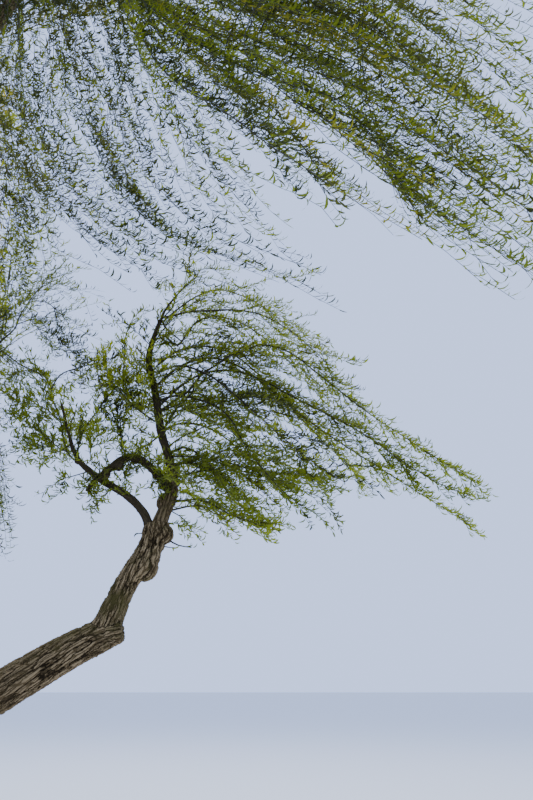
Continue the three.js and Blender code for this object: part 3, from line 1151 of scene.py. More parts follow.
@dataclass(frozen=True)
class Fill:
    """How a mass or stream is filled with stems and shoots."""

    stems: int
    shoots: int
    laterals: float = 3.0
    stem_radius: float = 0.011
    spread: float = 0.11
    reach: tuple[float, float] = (0.72, 1.04)
    start: tuple[float, float] = (0.06, 0.62)
    lateral: tuple[float, float] = (0.15, 0.5)
    stem_end: tuple[float, float] = (0.62, 0.95)
    even: bool = False
    tints: tuple[float, ...] | None = None


def stream_fill(sweep: Sweep, reach: tuple[float, float]) -> Fill:
    """How a stream is filled: a few thin stems, and shoots that drift apart.

    Args:
        sweep: The stream.
        reach: Where its shoots end, as shares of its length.

    Returns:
        The way it is filled.
    """
    return Fill(max(2, sweep.shoots // 6), sweep.shoots, laterals=2.6, stem_radius=0.0062,
                spread=0.34, reach=reach, start=(0.0, 0.45), lateral=(0.08, 0.26),
                stem_end=(0.5, 0.8), even=True)


@dataclass(frozen=True)
class Sprouts:
    """Side shoots along a branch or limb."""

    rate: float = 14.0
    length: tuple[float, float] = (0.3, 1.0)
    lean: Point = (0.25, 0.0, 0.15)
    ahead: float = 0.7
    splay: float = 0.7
    shorten: float = 0.5
    laterals: float = 2.2


@dataclass(frozen=True)
class Branch:
    """A crooked branch that shows on its own, with the side shoots it bears.

    The stops are x, y and z in centimetres, one after the other.
    """

    stops: tuple[int, ...]
    foot: float
    tip: float
    sprouts: Sprouts = Sprouts()
    leafy: float = 0.12

    def course(self) -> Array:
        """Its points."""
        return smooth_line(np.reshape(self.stops, (-1, 3)) / CENTIMETRES, 0.06)


@dataclass(frozen=True)
class Tufts:
    """Shoots that grow straight from a stretch of a limb."""

    limb: str
    span: tuple[float, float]
    sprouts: Sprouts


@dataclass(frozen=True)
class Arches:
    """Arching branches that a stretch of a limb puts out, each bearing side shoots."""

    limb: str
    span: tuple[float, float]
    count: int
    length: tuple[float, float]
    heading: Point
    splay: float
    sprouts: Sprouts
    foot: float = 0.010
    slack: float = 0.45


@dataclass
class Thicket:
    """Grows twigs by a seeded branching rule: limb, stem or branch, shoot, lateral."""

    rng: np.random.Generator
    tints: tuple[float, ...]
    habit: Habit
    twigs: list[Twig] = field(default_factory=list)
    STEM_PLACE = (0.15, 0.85)
    STEM_DEPTH = 0.7
    STEM_TIP = 0.0016
    STEM_BARE = 0.15
    SHOOT_FOOT = (0.0026, 0.0034)
    SHOOT_TIP = 0.0014
    SHOOT_BARE = 0.03
    SHORTEST = 0.2
    OVERLAP = 0.08
    JITTER = 0.006
    LATERAL_FOOT = 0.0020
    LATERAL_TIP = 0.0012
    LATERAL_BARE = 0.02
    SHORTS = (0.08, 0.28)
    TAPER = 1.2
    OWN_TINT = 0.4
    OWN_TINT_EVEN = 0.75
    PARENT_TINT = 0.6

    def tint(self, weights: tuple[float, ...] | None = None) -> Tint:
        """Draws a tint by its weight."""
        shares = np.array(weights or self.tints)
        return Tint(int(self.rng.choice(len(shares), p=shares / shares.sum())))

    def keep(self, course: Array, foot: float, tip: float, tint: Tint, bare: float) -> None:
        """Keeps a twig that tapers from foot to tip.

        Args:
            course: Its points.
            foot: Its radius at the foot.
            tip: Its radius at the tip.
            tint: Colour of its leaves.
            bare: Share of it at the foot that bears no leaves.
        """
        radii = tip + (foot - tip) * (1 - np.linspace(0, 1, len(course))) ** self.TAPER
        self.twigs.append(Twig(course, radii, tint, bare))

    def _stem(self, body: Mass | Sweep, fill: Fill, limbs: LimbIndex, a: float, c: float,
              end: float) -> Array:
        """The course of a stem, from its limb into the mass.

        Args:
            body: What it fills.
            fill: How that is filled.
            limbs: The limbs that it may grow from.
            a: Its place across.
            c: Its place through the thickness.
            end: Where it ends, as b.

        Returns:
            Its points.
        """
        count = max(8, round(end * body.length() / 0.25))
        b = np.linspace(fill.start[0], end, count)
        sway = 0.10 * np.sin(self.rng.uniform(3, 6) * b + self.rng.uniform(0, 6))
        inside = body.place(a + sway * fill.spread, b, c + sway)
        foot = limbs.nearest(inside[0])[:3]
        gap = np.linalg.norm(inside[0] - foot)
        flow = unit(inside[1] - inside[0])
        out = unit(inside[0] - foot + 0.5 * gap * UP)
        share = np.linspace(0, 1, max(3, round(gap / 0.15) + 2))[:-1, None]
        first, second = foot + out * gap * 0.4, inside[0] - flow * gap * 0.35
        lead = ((1 - share) ** 3 * foot + 3 * share * (1 - share) ** 2 * first
                + 3 * share**2 * (1 - share) * second + share**3 * inside[0])
        return np.vstack((lead, inside))

    def fill(self, body: Mass | Sweep, fill: Fill, limbs: LimbIndex) -> None:
        """Fills a mass or stream.

        Args:
            body: What is filled.
            fill: How it is filled.
            limbs: The limbs that its stems grow from.
        """
        rng = self.rng
        stems = []
        for number in range(fill.stems):
            a = (number + rng.uniform(*self.STEM_PLACE)) / fill.stems
            c = rng.uniform(-self.STEM_DEPTH, self.STEM_DEPTH)
            end = rng.uniform(*fill.stem_end)
            tint = self.tint(fill.tints)
            course = self._stem(body, fill, limbs, a, c, end)
            foot = fill.stem_radius * rng.uniform(0.7, 1.15)
            self.keep(course, foot, self.STEM_TIP, tint, self.STEM_BARE)
            stems.append((a, c, end, tint))
        for number in range(fill.shoots):
            self._shoot(body, fill, *stems[number % len(stems)])

    def _shoot(self, body: Mass | Sweep, fill: Fill, a: float, c: float, end: float,
               tint: Tint) -> None:
        """Grows one shoot and its laterals from a stem.

        Args:
            body: What is filled.
            fill: How it is filled.
            a: The stem's place across.
            c: The stem's place through the thickness.
            end: Where the stem ends, as b.
            tint: Colour of the stem's leaves.
        """
        rng = self.rng
        if rng.random() < (self.OWN_TINT_EVEN if fill.even else self.OWN_TINT):
            tint = self.tint(fill.tints)
        begin = rng.uniform(*fill.start) * end
        finish = max(rng.uniform(*fill.reach), begin + self.SHORTEST)
        to_a = a + rng.normal(0.0, fill.spread)
        to_c = np.clip(c + rng.normal(0.0, 0.55), -1.0, 1.0)
        count = max(6, round((finish - begin) * body.length() / 0.2))
        share = np.linspace(0.0, 1.0, count)
        ease = share**1.3
        if fill.even:
            to_a = rng.uniform(-self.OVERLAP, 1 + self.OVERLAP)
            to_c = rng.uniform(-1.0, 1.0)
            ease = np.minimum(1.0, share * 2.2) ** 0.8
        b = begin + (finish - begin) * share
        wave = np.sin(np.pi * np.minimum(share * 2.5, 0.5))
        sway = 0.16 * np.sin(rng.uniform(3, 9) * share + rng.uniform(0, 6)) * wave
        course = body.place(a + (to_a - a) * ease + sway * min(1.0, fill.spread * 3), b,
                            c + (to_c - c) * ease + sway)
        course[1:] += rng.normal(0.0, self.JITTER, course[1:].shape)
        foot = rng.uniform(*self.SHOOT_FOOT)
        self.keep(course, foot, self.SHOOT_TIP, tint, self.SHOOT_BARE)
        self.laterals(course, fill.laterals, fill.lateral, tint)

    def laterals(self, course: Array, rate: float, lengths: tuple[float, float],
                 tint: Tint) -> None:
        """Short side shoots along a longer one.

        Args:
            course: The longer shoot.
            rate: How many it bears on average.
            lengths: Their shortest and longest length.
            tint: Colour of their leaves.
        """
        rng = self.rng
        for _ in range(rng.poisson(rate)):
            at = rng.integers(1, len(course) - 1)
            way = unit(course[at + 1] - course[at])
            heading = way + unit(np.cross(way, rng.normal(size=3))) * rng.uniform(0.35, 0.9)
            shoot = self.habit.grow(rng, course[at], heading, rng.uniform(*lengths))
            self.keep(shoot, self.LATERAL_FOOT, self.LATERAL_TIP, tint, self.LATERAL_BARE)

    def sprout(self, course: Array, sprouts: Sprouts, leafy: float, tint: Tint | None) -> None:
        """Side shoots along a branch.

        Args:
            course: The branch.
            sprouts: How it is furnished.
            leafy: Share of it at its foot that stays without shoots.
            tint: Colour of the leaves, or None to draw one for each shoot.
        """
        rng = self.rng
        long = np.linalg.norm(np.diff(course, axis=0), axis=1).sum()
        for _ in range(rng.poisson(sprouts.rate * long)):
            share = rng.uniform(leafy, 1.0)
            at = min(int(share * (len(course) - 1)), len(course) - 2)
            way = unit(course[at + 1] - course[at])
            side = unit(np.cross(way, rng.normal(size=3)))
            heading = way * sprouts.ahead + side * sprouts.splay + np.array(sprouts.lean)
            reach = rng.uniform(*sprouts.length) * (1 - sprouts.shorten * share)
            own = tint if tint is not None and rng.random() < self.PARENT_TINT else self.tint()
            shoot = self.habit.grow(rng, course[at], heading, reach)
            foot = 0.0021 + 0.0014 * min(reach, 1.2)
            self.keep(shoot, foot, self.SHOOT_TIP, own, self.LATERAL_BARE)
            self.laterals(shoot, sprouts.laterals * reach, self.SHORTS, own)

    def dress(self, branch: Branch) -> None:
        """Adds a branch and its side shoots.

        Args:
            branch: The branch.
        """
        tint = self.tint()
        course = branch.course()
        self.keep(course, branch.foot, branch.tip, tint, branch.leafy)
        self.sprout(course, branch.sprouts, branch.leafy, tint)

    def tuft(self, tufts: Tufts) -> None:
        """Adds the shoots that grow straight from a limb.

        Args:
            tufts: Where they grow, and how.
        """
        axis = LIMBS[tufts.limb].axis()
        first, last = (int(share * (len(axis) - 1)) for share in tufts.span)
        self.sprout(axis[first:last + 1, :3], tufts.sprouts, 0.0, None)

    def arch(self, arches: Arches) -> None:
        """Adds arching branches along a limb.

        Args:
            arches: Where they grow, and how.
        """
        rng = self.rng
        axis = LIMBS[arches.limb].axis()
        for number in range(arches.count):
            share = (number + rng.uniform(0.1, 0.9)) / arches.count
            low, high = arches.span
            at = int((low + (high - low) * share) * (len(axis) - 1))
            heading = np.array(arches.heading) + rng.normal(0.0, arches.splay, 3)
            course = self.habit.grow(rng, axis[at, :3], heading, rng.uniform(*arches.length),
                                     step=0.11, slack=arches.slack)
            tint = self.tint()
            self.keep(course, arches.foot * rng.uniform(0.7, 1.2), 0.002, tint, 0.1)
            self.sprout(course, arches.sprouts, 0.08, tint)


@dataclass
class LeafShape:
    """Outline of a lanceolate leaf, one unit long, that bends as a whole."""

    bend: float
    lift: float
    half_width: float = 0.092

    def object(self, name: str) -> bpy.types.Object:
        """Builds the leaf as a template of six triangles.

        Args:
            name: Name of the template.

        Returns:
            The template.
        """
        run = np.array((0.0, 0.26, 0.26, 0.52, 0.52, 0.78, 0.78, 1.0))
        side = np.array((0.0, -0.85, 0.85, -1.0, 1.0, -0.7, 0.7, 0.0)) * self.half_width
        turn, rise = self.bend * run, self.lift * run
        ahead = np.sinc(turn / np.pi) * np.sinc(rise / np.pi) * run
        places = np.column_stack((ahead - side * np.sin(turn), run * turn / 2 + side * np.cos(turn),
                                  run * rise / 2))
        faces = [(0, 1, 2), (1, 3, 4), (1, 4, 2), (3, 5, 6), (3, 6, 4), (5, 7, 6)]
        return mesh_object(name, places, faces)


@dataclass
class LeafMaker:
    """Sets leaves along shoots."""

    shapes: tuple[LeafShape, ...] = (
        LeafShape(0.5, 1.2), LeafShape(1.3, 0.5), LeafShape(-1.1, 0.7), LeafShape(0.9, 1.4),
        LeafShape(-0.6, 1.5), LeafShape(0.3, 0.6))

    def tree(self) -> GeometryTree:
        """Builds the tree: leaves that lean along the shoot, outwards and downwind.

        Returns:
            The tree.
        """
        tree = GeometryTree("leaves_on_shoots", {
            "Spacing": "Float", "Leaf Length": "Float", "Most": "Int", "Ahead": "Float",
            "Outward": "Float", "Downwind": "Vector", "Lift": "Vector", "Seed": "Int",
            "Leaves": "Collection", "Finish": "Material"})
        line = tree.add("GeometryNodeMeshToCurve", None, {"Mesh": tree.start})
        spots = tree.add("GeometryNodeCurveToPoints", {"mode": "LENGTH"}, {
            "Curve": line, "Length": tree.input("Spacing")})
        along, across = spots.other("Tangent"), spots.other("Normal")
        count = tree.random(1, tree.input("Most"), 1, "INT")
        tufts = tree.add("GeometryNodeDuplicateElements", {"domain": "POINT"}, {
            "Geometry": spots, "Amount": count})
        turn = tree.random(0.0, 2 * math.pi, 2)
        radial = across * turn.cosine() + along.cross(across) * turn.sine()
        heading = (along * (tree.input("Ahead") * tree.random(0.5, 1.4, 3))
                   + radial * (tree.input("Outward") * tree.random(0.6, 1.3, 4))
                   + tree.input("Downwind") * tree.random(0.2, 1.4, 5))
        raised = tree.input("Lift") + tree.random(
            (-0.6, -0.6, -0.6), (0.6, 0.6, 0.6), 6, "FLOAT_VECTOR")
        turned = tree.add("FunctionNodeAxesToRotation", {
            "primary_axis": "X", "secondary_axis": "Z"}, {
            "Primary Axis": heading, "Secondary Axis": raised})
        slide = along * (tree.input("Spacing") * tree.random(-0.45, 0.45, 7))
        moved = tree.add("GeometryNodeSetPosition", None, {"Geometry": tufts, "Offset": slide})
        size = tree.input("Leaf Length") * tree.random(0.55, 1.15, 8)
        leaves = tree.add("GeometryNodeCollectionInfo", None, {
            "Collection": tree.input("Leaves"), "Separate Children": True, "Reset Children": True})
        placed = tree.add("GeometryNodeInstanceOnPoints", None, {
            "Points": moved, "Instance": leaves, "Pick Instance": True,
            "Instance Index": tree.random(0, len(self.shapes) - 1, 9, "INT"),
            "Rotation": turned, "Scale": size})
        tree.close(placed, "Finish")
        return tree

    def templates(self) -> bpy.types.Collection:
        """Puts the leaf shapes in a collection of their own.

        Returns:
            The collection.
        """
        group = bpy.data.collections.new("leaf_shapes")
        bpy.context.scene.collection.children.link(group)
        for number, shape in enumerate(self.shapes):
            leaf = shape.object(f"leaf_shape_{number}")
            bpy.context.collection.objects.unlink(leaf)
            group.objects.link(leaf)
        return group


@dataclass(frozen=True)
class Leafing:
    """How densely a region is in leaf."""

    spacing: float = 0.036
    length: float = 0.078
    most: int = 1
    ahead: float = 0.55
    outward: float = 0.50
    downwind: Point = (0.75, 0.0, -0.05)
    lift: Point = (-0.1, -0.45, 1.0)


def polylines(name: str, twigs: Sequence[Twig], leafed: bool) -> bpy.types.Object:
    """Twigs as one mesh of loose edges.

    Args:
        name: Name of the object.
        twigs: The twigs.
        leafed: True to keep only the stretch that bears leaves.

    Returns:
        The object, with the radius as an attribute.
    """
    points, radii, edges = [], [], []
    base = 0
    for twig in twigs:
        first = min(int(twig.bare * len(twig.course)), len(twig.course) - 2) if leafed else 0
        course = twig.course[first:]
        points.append(course)
        radii.append(twig.radii[first:])
        edges += [(base + i, base + i + 1) for i in range(len(course) - 1)]
        base += len(course)
    made = mesh_object(name, np.vstack(points), edges=edges)
    write_attribute(made, "radius", "FLOAT", np.hstack(radii))
    return made


class TwigMaker:
    """Gives twigs their round bark."""

    def tree(self) -> GeometryTree:
        """Builds the tree: a closed tube round each line.

        Returns:
            The tree.
        """
        tree = GeometryTree("bark_on_twigs", {"Sides": "Int", "Finish": "Material"})
        radius = tree.attribute("radius")
        line = tree.add("GeometryNodeMeshToCurve", None, {"Mesh": tree.start})
        ring = tree.add("GeometryNodeCurvePrimitiveCircle", None, {
            "Resolution": tree.input("Sides"), "Radius": 1.0})
        tube = tree.add("GeometryNodeCurveToMesh", None, {
            "Curve": line, "Profile Curve": ring, "Scale": radius, "Fill Caps": True})
        tree.close(tree.add("GeometryNodeSetShadeSmooth", None, {"Geometry": tube}), "Finish")
        return tree


def finished(piece: bpy.types.Object, nodes: Sequence[str]) -> bpy.types.Object:
    """Ties a finished piece to the frame.

    Args:
        piece: The piece.
        nodes: CAD nodes that it stands for.

    Returns:
        The piece.
    """
    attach(piece, BODY)
    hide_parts(*nodes)
    LOG.info("%s: %d triangles", piece.name, triangles_of(piece))
    return piece


def joined(parts: list[bpy.types.Object], name: str) -> bpy.types.Object:
    """Joins meshes into one object, each keeping its material.

    Args:
        parts: The objects to join.
        name: Name of the result.

    Returns:
        The joined object.
    """
    with bpy.context.temp_override(active_object=parts[0], object=parts[0],
                                   selected_objects=parts, selected_editable_objects=parts):
        bpy.ops.object.join()
    parts[0].name = name
    parts[0].data.name = name
    return parts[0]


@dataclass
class Region:
    """One region of the crown: what fills it, and how it is in leaf."""

    name: str
    nodes: tuple[str, ...]
    limbs: tuple[str, ...]
    habit: Habit
    leafing: Leafing
    tints: tuple[float, ...]
    seed: int
    bodies: tuple[tuple[Mass | Sweep, Fill], ...] = ()
    branches: tuple[Branch, ...] = ()
    tufts: tuple[Tufts, ...] = ()
    arches: tuple[Arches, ...] = ()
    THICK = 0.0045
    THICK_SIDES = 6
    THIN_SIDES = 3

    def grown(self) -> list[Twig]:
        """Grows the region.

        Returns:
            All its twigs.
        """
        thicket = Thicket(np.random.default_rng(self.seed), self.tints, self.habit)
        limbs = LimbIndex(self.limbs)
        for body, fill in self.bodies:
            thicket.fill(body, fill, limbs)
        for branch in self.branches:
            thicket.dress(branch)
        for arches in self.arches:
            thicket.arch(arches)
        for tufts in self.tufts:
            thicket.tuft(tufts)
        return thicket.twigs

    def build(self, twig_tree: GeometryTree, leaf_tree: GeometryTree,
              templates: bpy.types.Collection, twig_finish: bpy.types.Material,
              leaf_finishes: dict[Tint, bpy.types.Material]) -> None:
        """Builds the region's twigs and leaves.

        Args:
            twig_tree: Tree that makes twigs round.
            leaf_tree: Tree that sets leaves.
            templates: Leaf shapes.
            twig_finish: Material of the twigs.
            leaf_finishes: Material of each tint.
        """
        twigs = self.grown()
        tubes = self._tubes(twigs, twig_tree, twig_finish)
        finished(joined(tubes, f"{self.name}_twigs"), ())
        sprays = self._sprays(twigs, leaf_tree, templates, leaf_finishes)
        finished(joined(sprays, f"{self.name}_leaves"), self.nodes)

    def _tubes(self, twigs: Sequence[Twig], tree: GeometryTree,
               finish: bpy.types.Material) -> list[bpy.types.Object]:
        """Gives the twigs their bark, the thin ones with fewer sides.

        Args:
            twigs: The region's twigs.
            tree: Tree that makes them round.
            finish: Their material.

        Returns:
            A mesh for the thick twigs and one for the thin.
        """
        thick = [twig for twig in twigs if twig.radii[0] > self.THICK]
        thin = [twig for twig in twigs if twig.radii[0] <= self.THICK]
        tubes = []
        for sides, chosen in ((self.THICK_SIDES, thick), (self.THIN_SIDES, thin)):
            if chosen:
                lines = polylines(f"{self.name}_lines", chosen, leafed=False)
                tubes.append(tree.apply(lines, {"Sides": sides, "Finish": finish},
                                        f"{self.name}_tubes_{sides}"))
        return tubes

    def _sprays(self, twigs: Sequence[Twig], tree: GeometryTree,
                templates: bpy.types.Collection,
                finishes: dict[Tint, bpy.types.Material]) -> list[bpy.types.Object]:
        """Sets the leaves of each tint.

        Args:
            twigs: The region's twigs.
            tree: Tree that sets leaves.
            templates: Leaf shapes.
            finishes: Material of each tint.

        Returns:
            A mesh for each tint that occurs.
        """
        leafing = self.leafing
        sprays = []
        for tint, finish in finishes.items():
            chosen = [twig for twig in twigs if twig.tint is tint]
            if not chosen:
                continue
            lines = polylines(f"{self.name}_{tint.name}", chosen, leafed=True)
            sprays.append(tree.apply(lines, {
                "Spacing": leafing.spacing, "Leaf Length": leafing.length, "Most": leafing.most,
                "Ahead": leafing.ahead, "Outward": leafing.outward,
                "Downwind": leafing.downwind, "Lift": leafing.lift,
                "Seed": self.seed * 10 + tint.value, "Leaves": templates, "Finish": finish},
                f"{self.name}_{tint.name}"))
        return sprays


# The tree's own parts

SKINS = (
    BarkSkin(
        "trunk_bark", ("trunk", "trunk_leader"), ("trunk",), voxel=0.0100, soft=11,
        burrs=(Burr((2.79, -0.01, 2.59), 0.122), Burr((2.77, -0.01, 2.66), 0.090),
               Burr((2.84, -0.01, 2.70), 0.092), Burr((2.87, 0.0, 2.80), 0.086),
               Burr((2.95, -0.02, 2.89), 0.088), Burr((2.91, 0.0, 2.97), 0.080))),
    BarkSkin(
        "leader_bark", ("upright_leader", "lower_left_bough", "arching_bough", "tip_branch"),
        ("upright_leader", "lower_left_bough", "arching_bough", "tip_branch"),
        voxel=0.0066, soft=3, sides=20, seed=3,
        burrs=(Burr((2.63, -0.09, 3.605), 0.048), Burr((2.48, -0.11, 3.535), 0.054),
               Burr((2.37, -0.115, 3.44), 0.042),
               Burr((2.97, 0.0, 3.46), 0.062), Burr((2.93, 0.0, 3.20), 0.078),
               Burr((2.05, 0.0, 3.62), 0.036), Burr((2.84, -0.02, 3.47), 0.052))),
    BarkSkin(
        "main_stem_bark",
        ("main_stem", "over_bough", "top_bough", "left_bough", "front_bough", "back_bough",
         "front_left_bough", "back_left_bough", "inner_right_bough"),
        ("main_stem", "over_bough_rise", "over_bough_reach", "top_bough", "left_bough_rise",
         "left_bough_reach", "front_bough", "back_bough", "front_left_bough", "back_left_bough",
         "inner_right_bough"),
        voxel=0.021, depth=0.024, seed=5),
)

CROWN_HABIT = Habit(drift=(0.60, 0.0, -0.76), far_drift=(0.84, 0.0, -0.54), far_x=4.7, pull=1.9)
LEFT_HABIT = Habit(drift=(0.62, 0.0, -0.42), pull=0.9, wander=1.0)
EDGE_HABIT = Habit(drift=(0.58, 0.0, -0.66), pull=1.3, wander=0.7)
CURTAIN_HABIT = Habit(drift=(0.55, 0.0, -0.80), far_drift=(0.76, 0.0, -0.62), near_x=2.6, far_x=4.4,
                      pull=2.8)
HANGING_HABIT = Habit(drift=(0.16, 0.0, -0.98), pull=2.6)

LONG_SPROUTS = Sprouts(rate=24.5, length=(0.22, 0.80), lean=(0.05, 0.0, -0.40), shorten=0.76)
MID_SPROUTS = Sprouts(rate=14.5, length=(0.30, 0.90), shorten=0.5)
LOW_SPROUTS = Sprouts(rate=20.0, length=(0.18, 0.50), shorten=0.4)
TOP_SPROUTS = Sprouts(rate=13.0, length=(0.12, 0.36), splay=0.9, shorten=0.3)
LEFT_SPROUTS = Sprouts(rate=36.0, length=(0.12, 0.46), splay=0.9, lean=(0.15, 0.0, 0.25))
THIN_SPROUTS = Sprouts(rate=14.0, length=(0.06, 0.22), splay=0.9, lean=(0.1, 0.0, 0.1),
                       laterals=1.0)
DEAD = Sprouts(rate=0.0)
BARE_SPROUTS = Sprouts(rate=3.0, length=(0.03, 0.10), splay=1.0, laterals=0.0)

RIGHT_BRANCHES = (
    Branch((276, 0, 527, 290, -2, 529, 304, -4, 532, 329, -8, 531, 353, -11, 530, 381, -16, 522,
        409, -20, 503, 434, -26, 476, 453, -30, 452), 0.014, 0.003, MID_SPROUTS),
    Branch((276, 5, 525, 291, 10, 545, 310, 15, 565, 332, 19, 577, 359, 25, 574, 388, 31, 560, 417,
        38, 536, 440, 45, 510), 0.011, 0.003, TOP_SPROUTS),
    Branch((280, 0, 505, 294, 3, 494, 302, 5, 507, 313, 8, 527, 331, 11, 536, 360, 16, 531, 394,
        22, 509, 427, 29, 480, 457, 35, 454), 0.012, 0.003, MID_SPROUTS),
    Branch((283, 0, 416, 296, -2, 426, 310, -3, 437, 323, -5, 455, 337, -6, 465, 354, -8, 477, 367,
        -9, 481, 381, -11, 486, 399, -12, 484, 414, -14, 476, 425, -15, 467, 437, -16, 455, 457,
        -19, 435, 486, -22, 407, 515, -26, 382, 544, -30, 358, 566, -33, 341, 582, -35, 328),
        0.013, 0.003, LONG_SPROUTS, 0.26),
    Branch((281, 0, 422, 304, 1, 447, 328, 2, 461, 356, 3, 463, 385, 4, 453, 414, 5, 436, 441, 6,
        421, 463, 7, 409, 485, 8, 396, 508, 9, 379, 533, 10, 360, 561, 11, 342, 593, 12, 329),
        0.013, 0.003, LONG_SPROUTS, 0.34),
    Branch((277, 0, 445, 291, 2, 462, 309, 3, 474, 332, 5, 480, 360, 7, 471, 388, 10, 451, 420, 13,
        422, 455, 16, 395, 495, 20, 368, 524, 23, 349, 558, 26, 327, 592, 30, 305), 0.014, 0.003,
        LONG_SPROUTS, 0.22),
    Branch((281, 0, 428, 297, -4, 431, 319, -9, 425, 340, -13, 415, 356, -19, 397, 372, -26, 364,
        386, -32, 344, 402, -38, 323, 422, -45, 303), 0.013, 0.003, MID_SPROUTS),
    Branch((295, 0, 370, 308, -6, 374, 320, -11, 368, 331, -18, 357, 343, -25, 343, 351, -32, 327,
        360, -40, 309), 0.013, 0.003, LOW_SPROUTS),
    Branch((299, 0, 357, 313, 5, 362, 326, 9, 360, 338, 14, 353, 352, 20, 345, 369, 28, 330, 385,
        35, 316), 0.013, 0.003, LOW_SPROUTS),
    Branch((298, 0, 320, 321, -4, 322, 336, -7, 318, 352, -11, 308, 370, -15, 300, 389, -20, 291),
        0.011, 0.003, LOW_SPROUTS),
    Branch((297, 0, 312, 319, 4, 318, 335, 9, 318, 351, 13, 312, 380, 21, 306, 395, 25, 303),
        0.010, 0.003, LOW_SPROUTS),
    Branch((296, 0, 314, 313, -3, 303, 319, -5, 294, 331, -10, 281), 0.006, 0.002, THIN_SPROUTS),
    Branch((290, 0, 298, 306, 4, 301, 310, 7, 295, 314, 10, 289), 0.005, 0.002, THIN_SPROUTS),
    Branch((287, 0, 395, 300, 6, 404, 317, 13, 407, 337, 22, 402, 360, 33, 388, 379, 44, 372, 400,
        55, 353), 0.012, 0.003, MID_SPROUTS),
    Branch((276, 0, 469, 293, 6, 488, 317, 13, 499, 348, 21, 496, 378, 30, 476, 411, 42, 445, 446,
        55, 410, 476, 65, 383, 505, 75, 359), 0.012, 0.003, LONG_SPROUTS),
    Branch((277, 0, 460, 298, -7, 464, 326, -15, 452, 356, -27, 424, 386, -41, 389, 413, -54, 358,
        435, -65, 335, 456, -75, 317), 0.012, 0.003, MID_SPROUTS),
    Branch((276, 0, 526, 286, 0, 540, 290, 0, 556, 301, 0, 572, 310, 0, 581, 321, 0, 585), 0.008,
        0.003, TOP_SPROUTS, 0.2),
    Branch((290, 0, 556, 284, -2, 566, 278, -3, 575, 273, -4, 570, 272, -5, 560), 0.005, 0.002,
        THIN_SPROUTS),
    Branch((310, 0, 581, 329, -1, 578, 347, -3, 570, 364, -4, 564, 378, -5, 569, 396, -6, 575, 425,
        -8, 576, 446, -10, 581), 0.004, 0.0015, THIN_SPROUTS),
    Branch((307, 0, 580, 315, 2, 592, 326, 3, 595, 341, 6, 587, 358, 8, 574, 367, 10, 563, 385, 13,
        551, 404, 16, 540, 428, 20, 529), 0.004, 0.0015, TOP_SPROUTS),
    Branch((301, 0, 558, 310, 3, 555, 321, 7, 543, 331, 10, 536), 0.003, 0.0015, THIN_SPROUTS),
    Branch((276, 0, 524, 279, 2, 517, 289, 5, 508, 297, 7, 502, 303, 10, 491), 0.012, 0.006,
        TOP_SPROUTS, 0.3),
    Branch((275, 0, 503, 283, -3, 495, 290, -6, 486, 298, -10, 474), 0.011, 0.006, TOP_SPROUTS,
        0.5),
    Branch((299, -3, 284, 309, -3, 279, 321, -3, 277), 0.009, 0.0045, DEAD, 0.98),
    Branch((296, -3, 278, 301, -3, 277, 305, -3, 277), 0.006, 0.003, DEAD, 0.98),
    Branch((278, -3, 289, 274, -3, 290, 271, -3, 290), 0.008, 0.004, DEAD, 0.98),
)

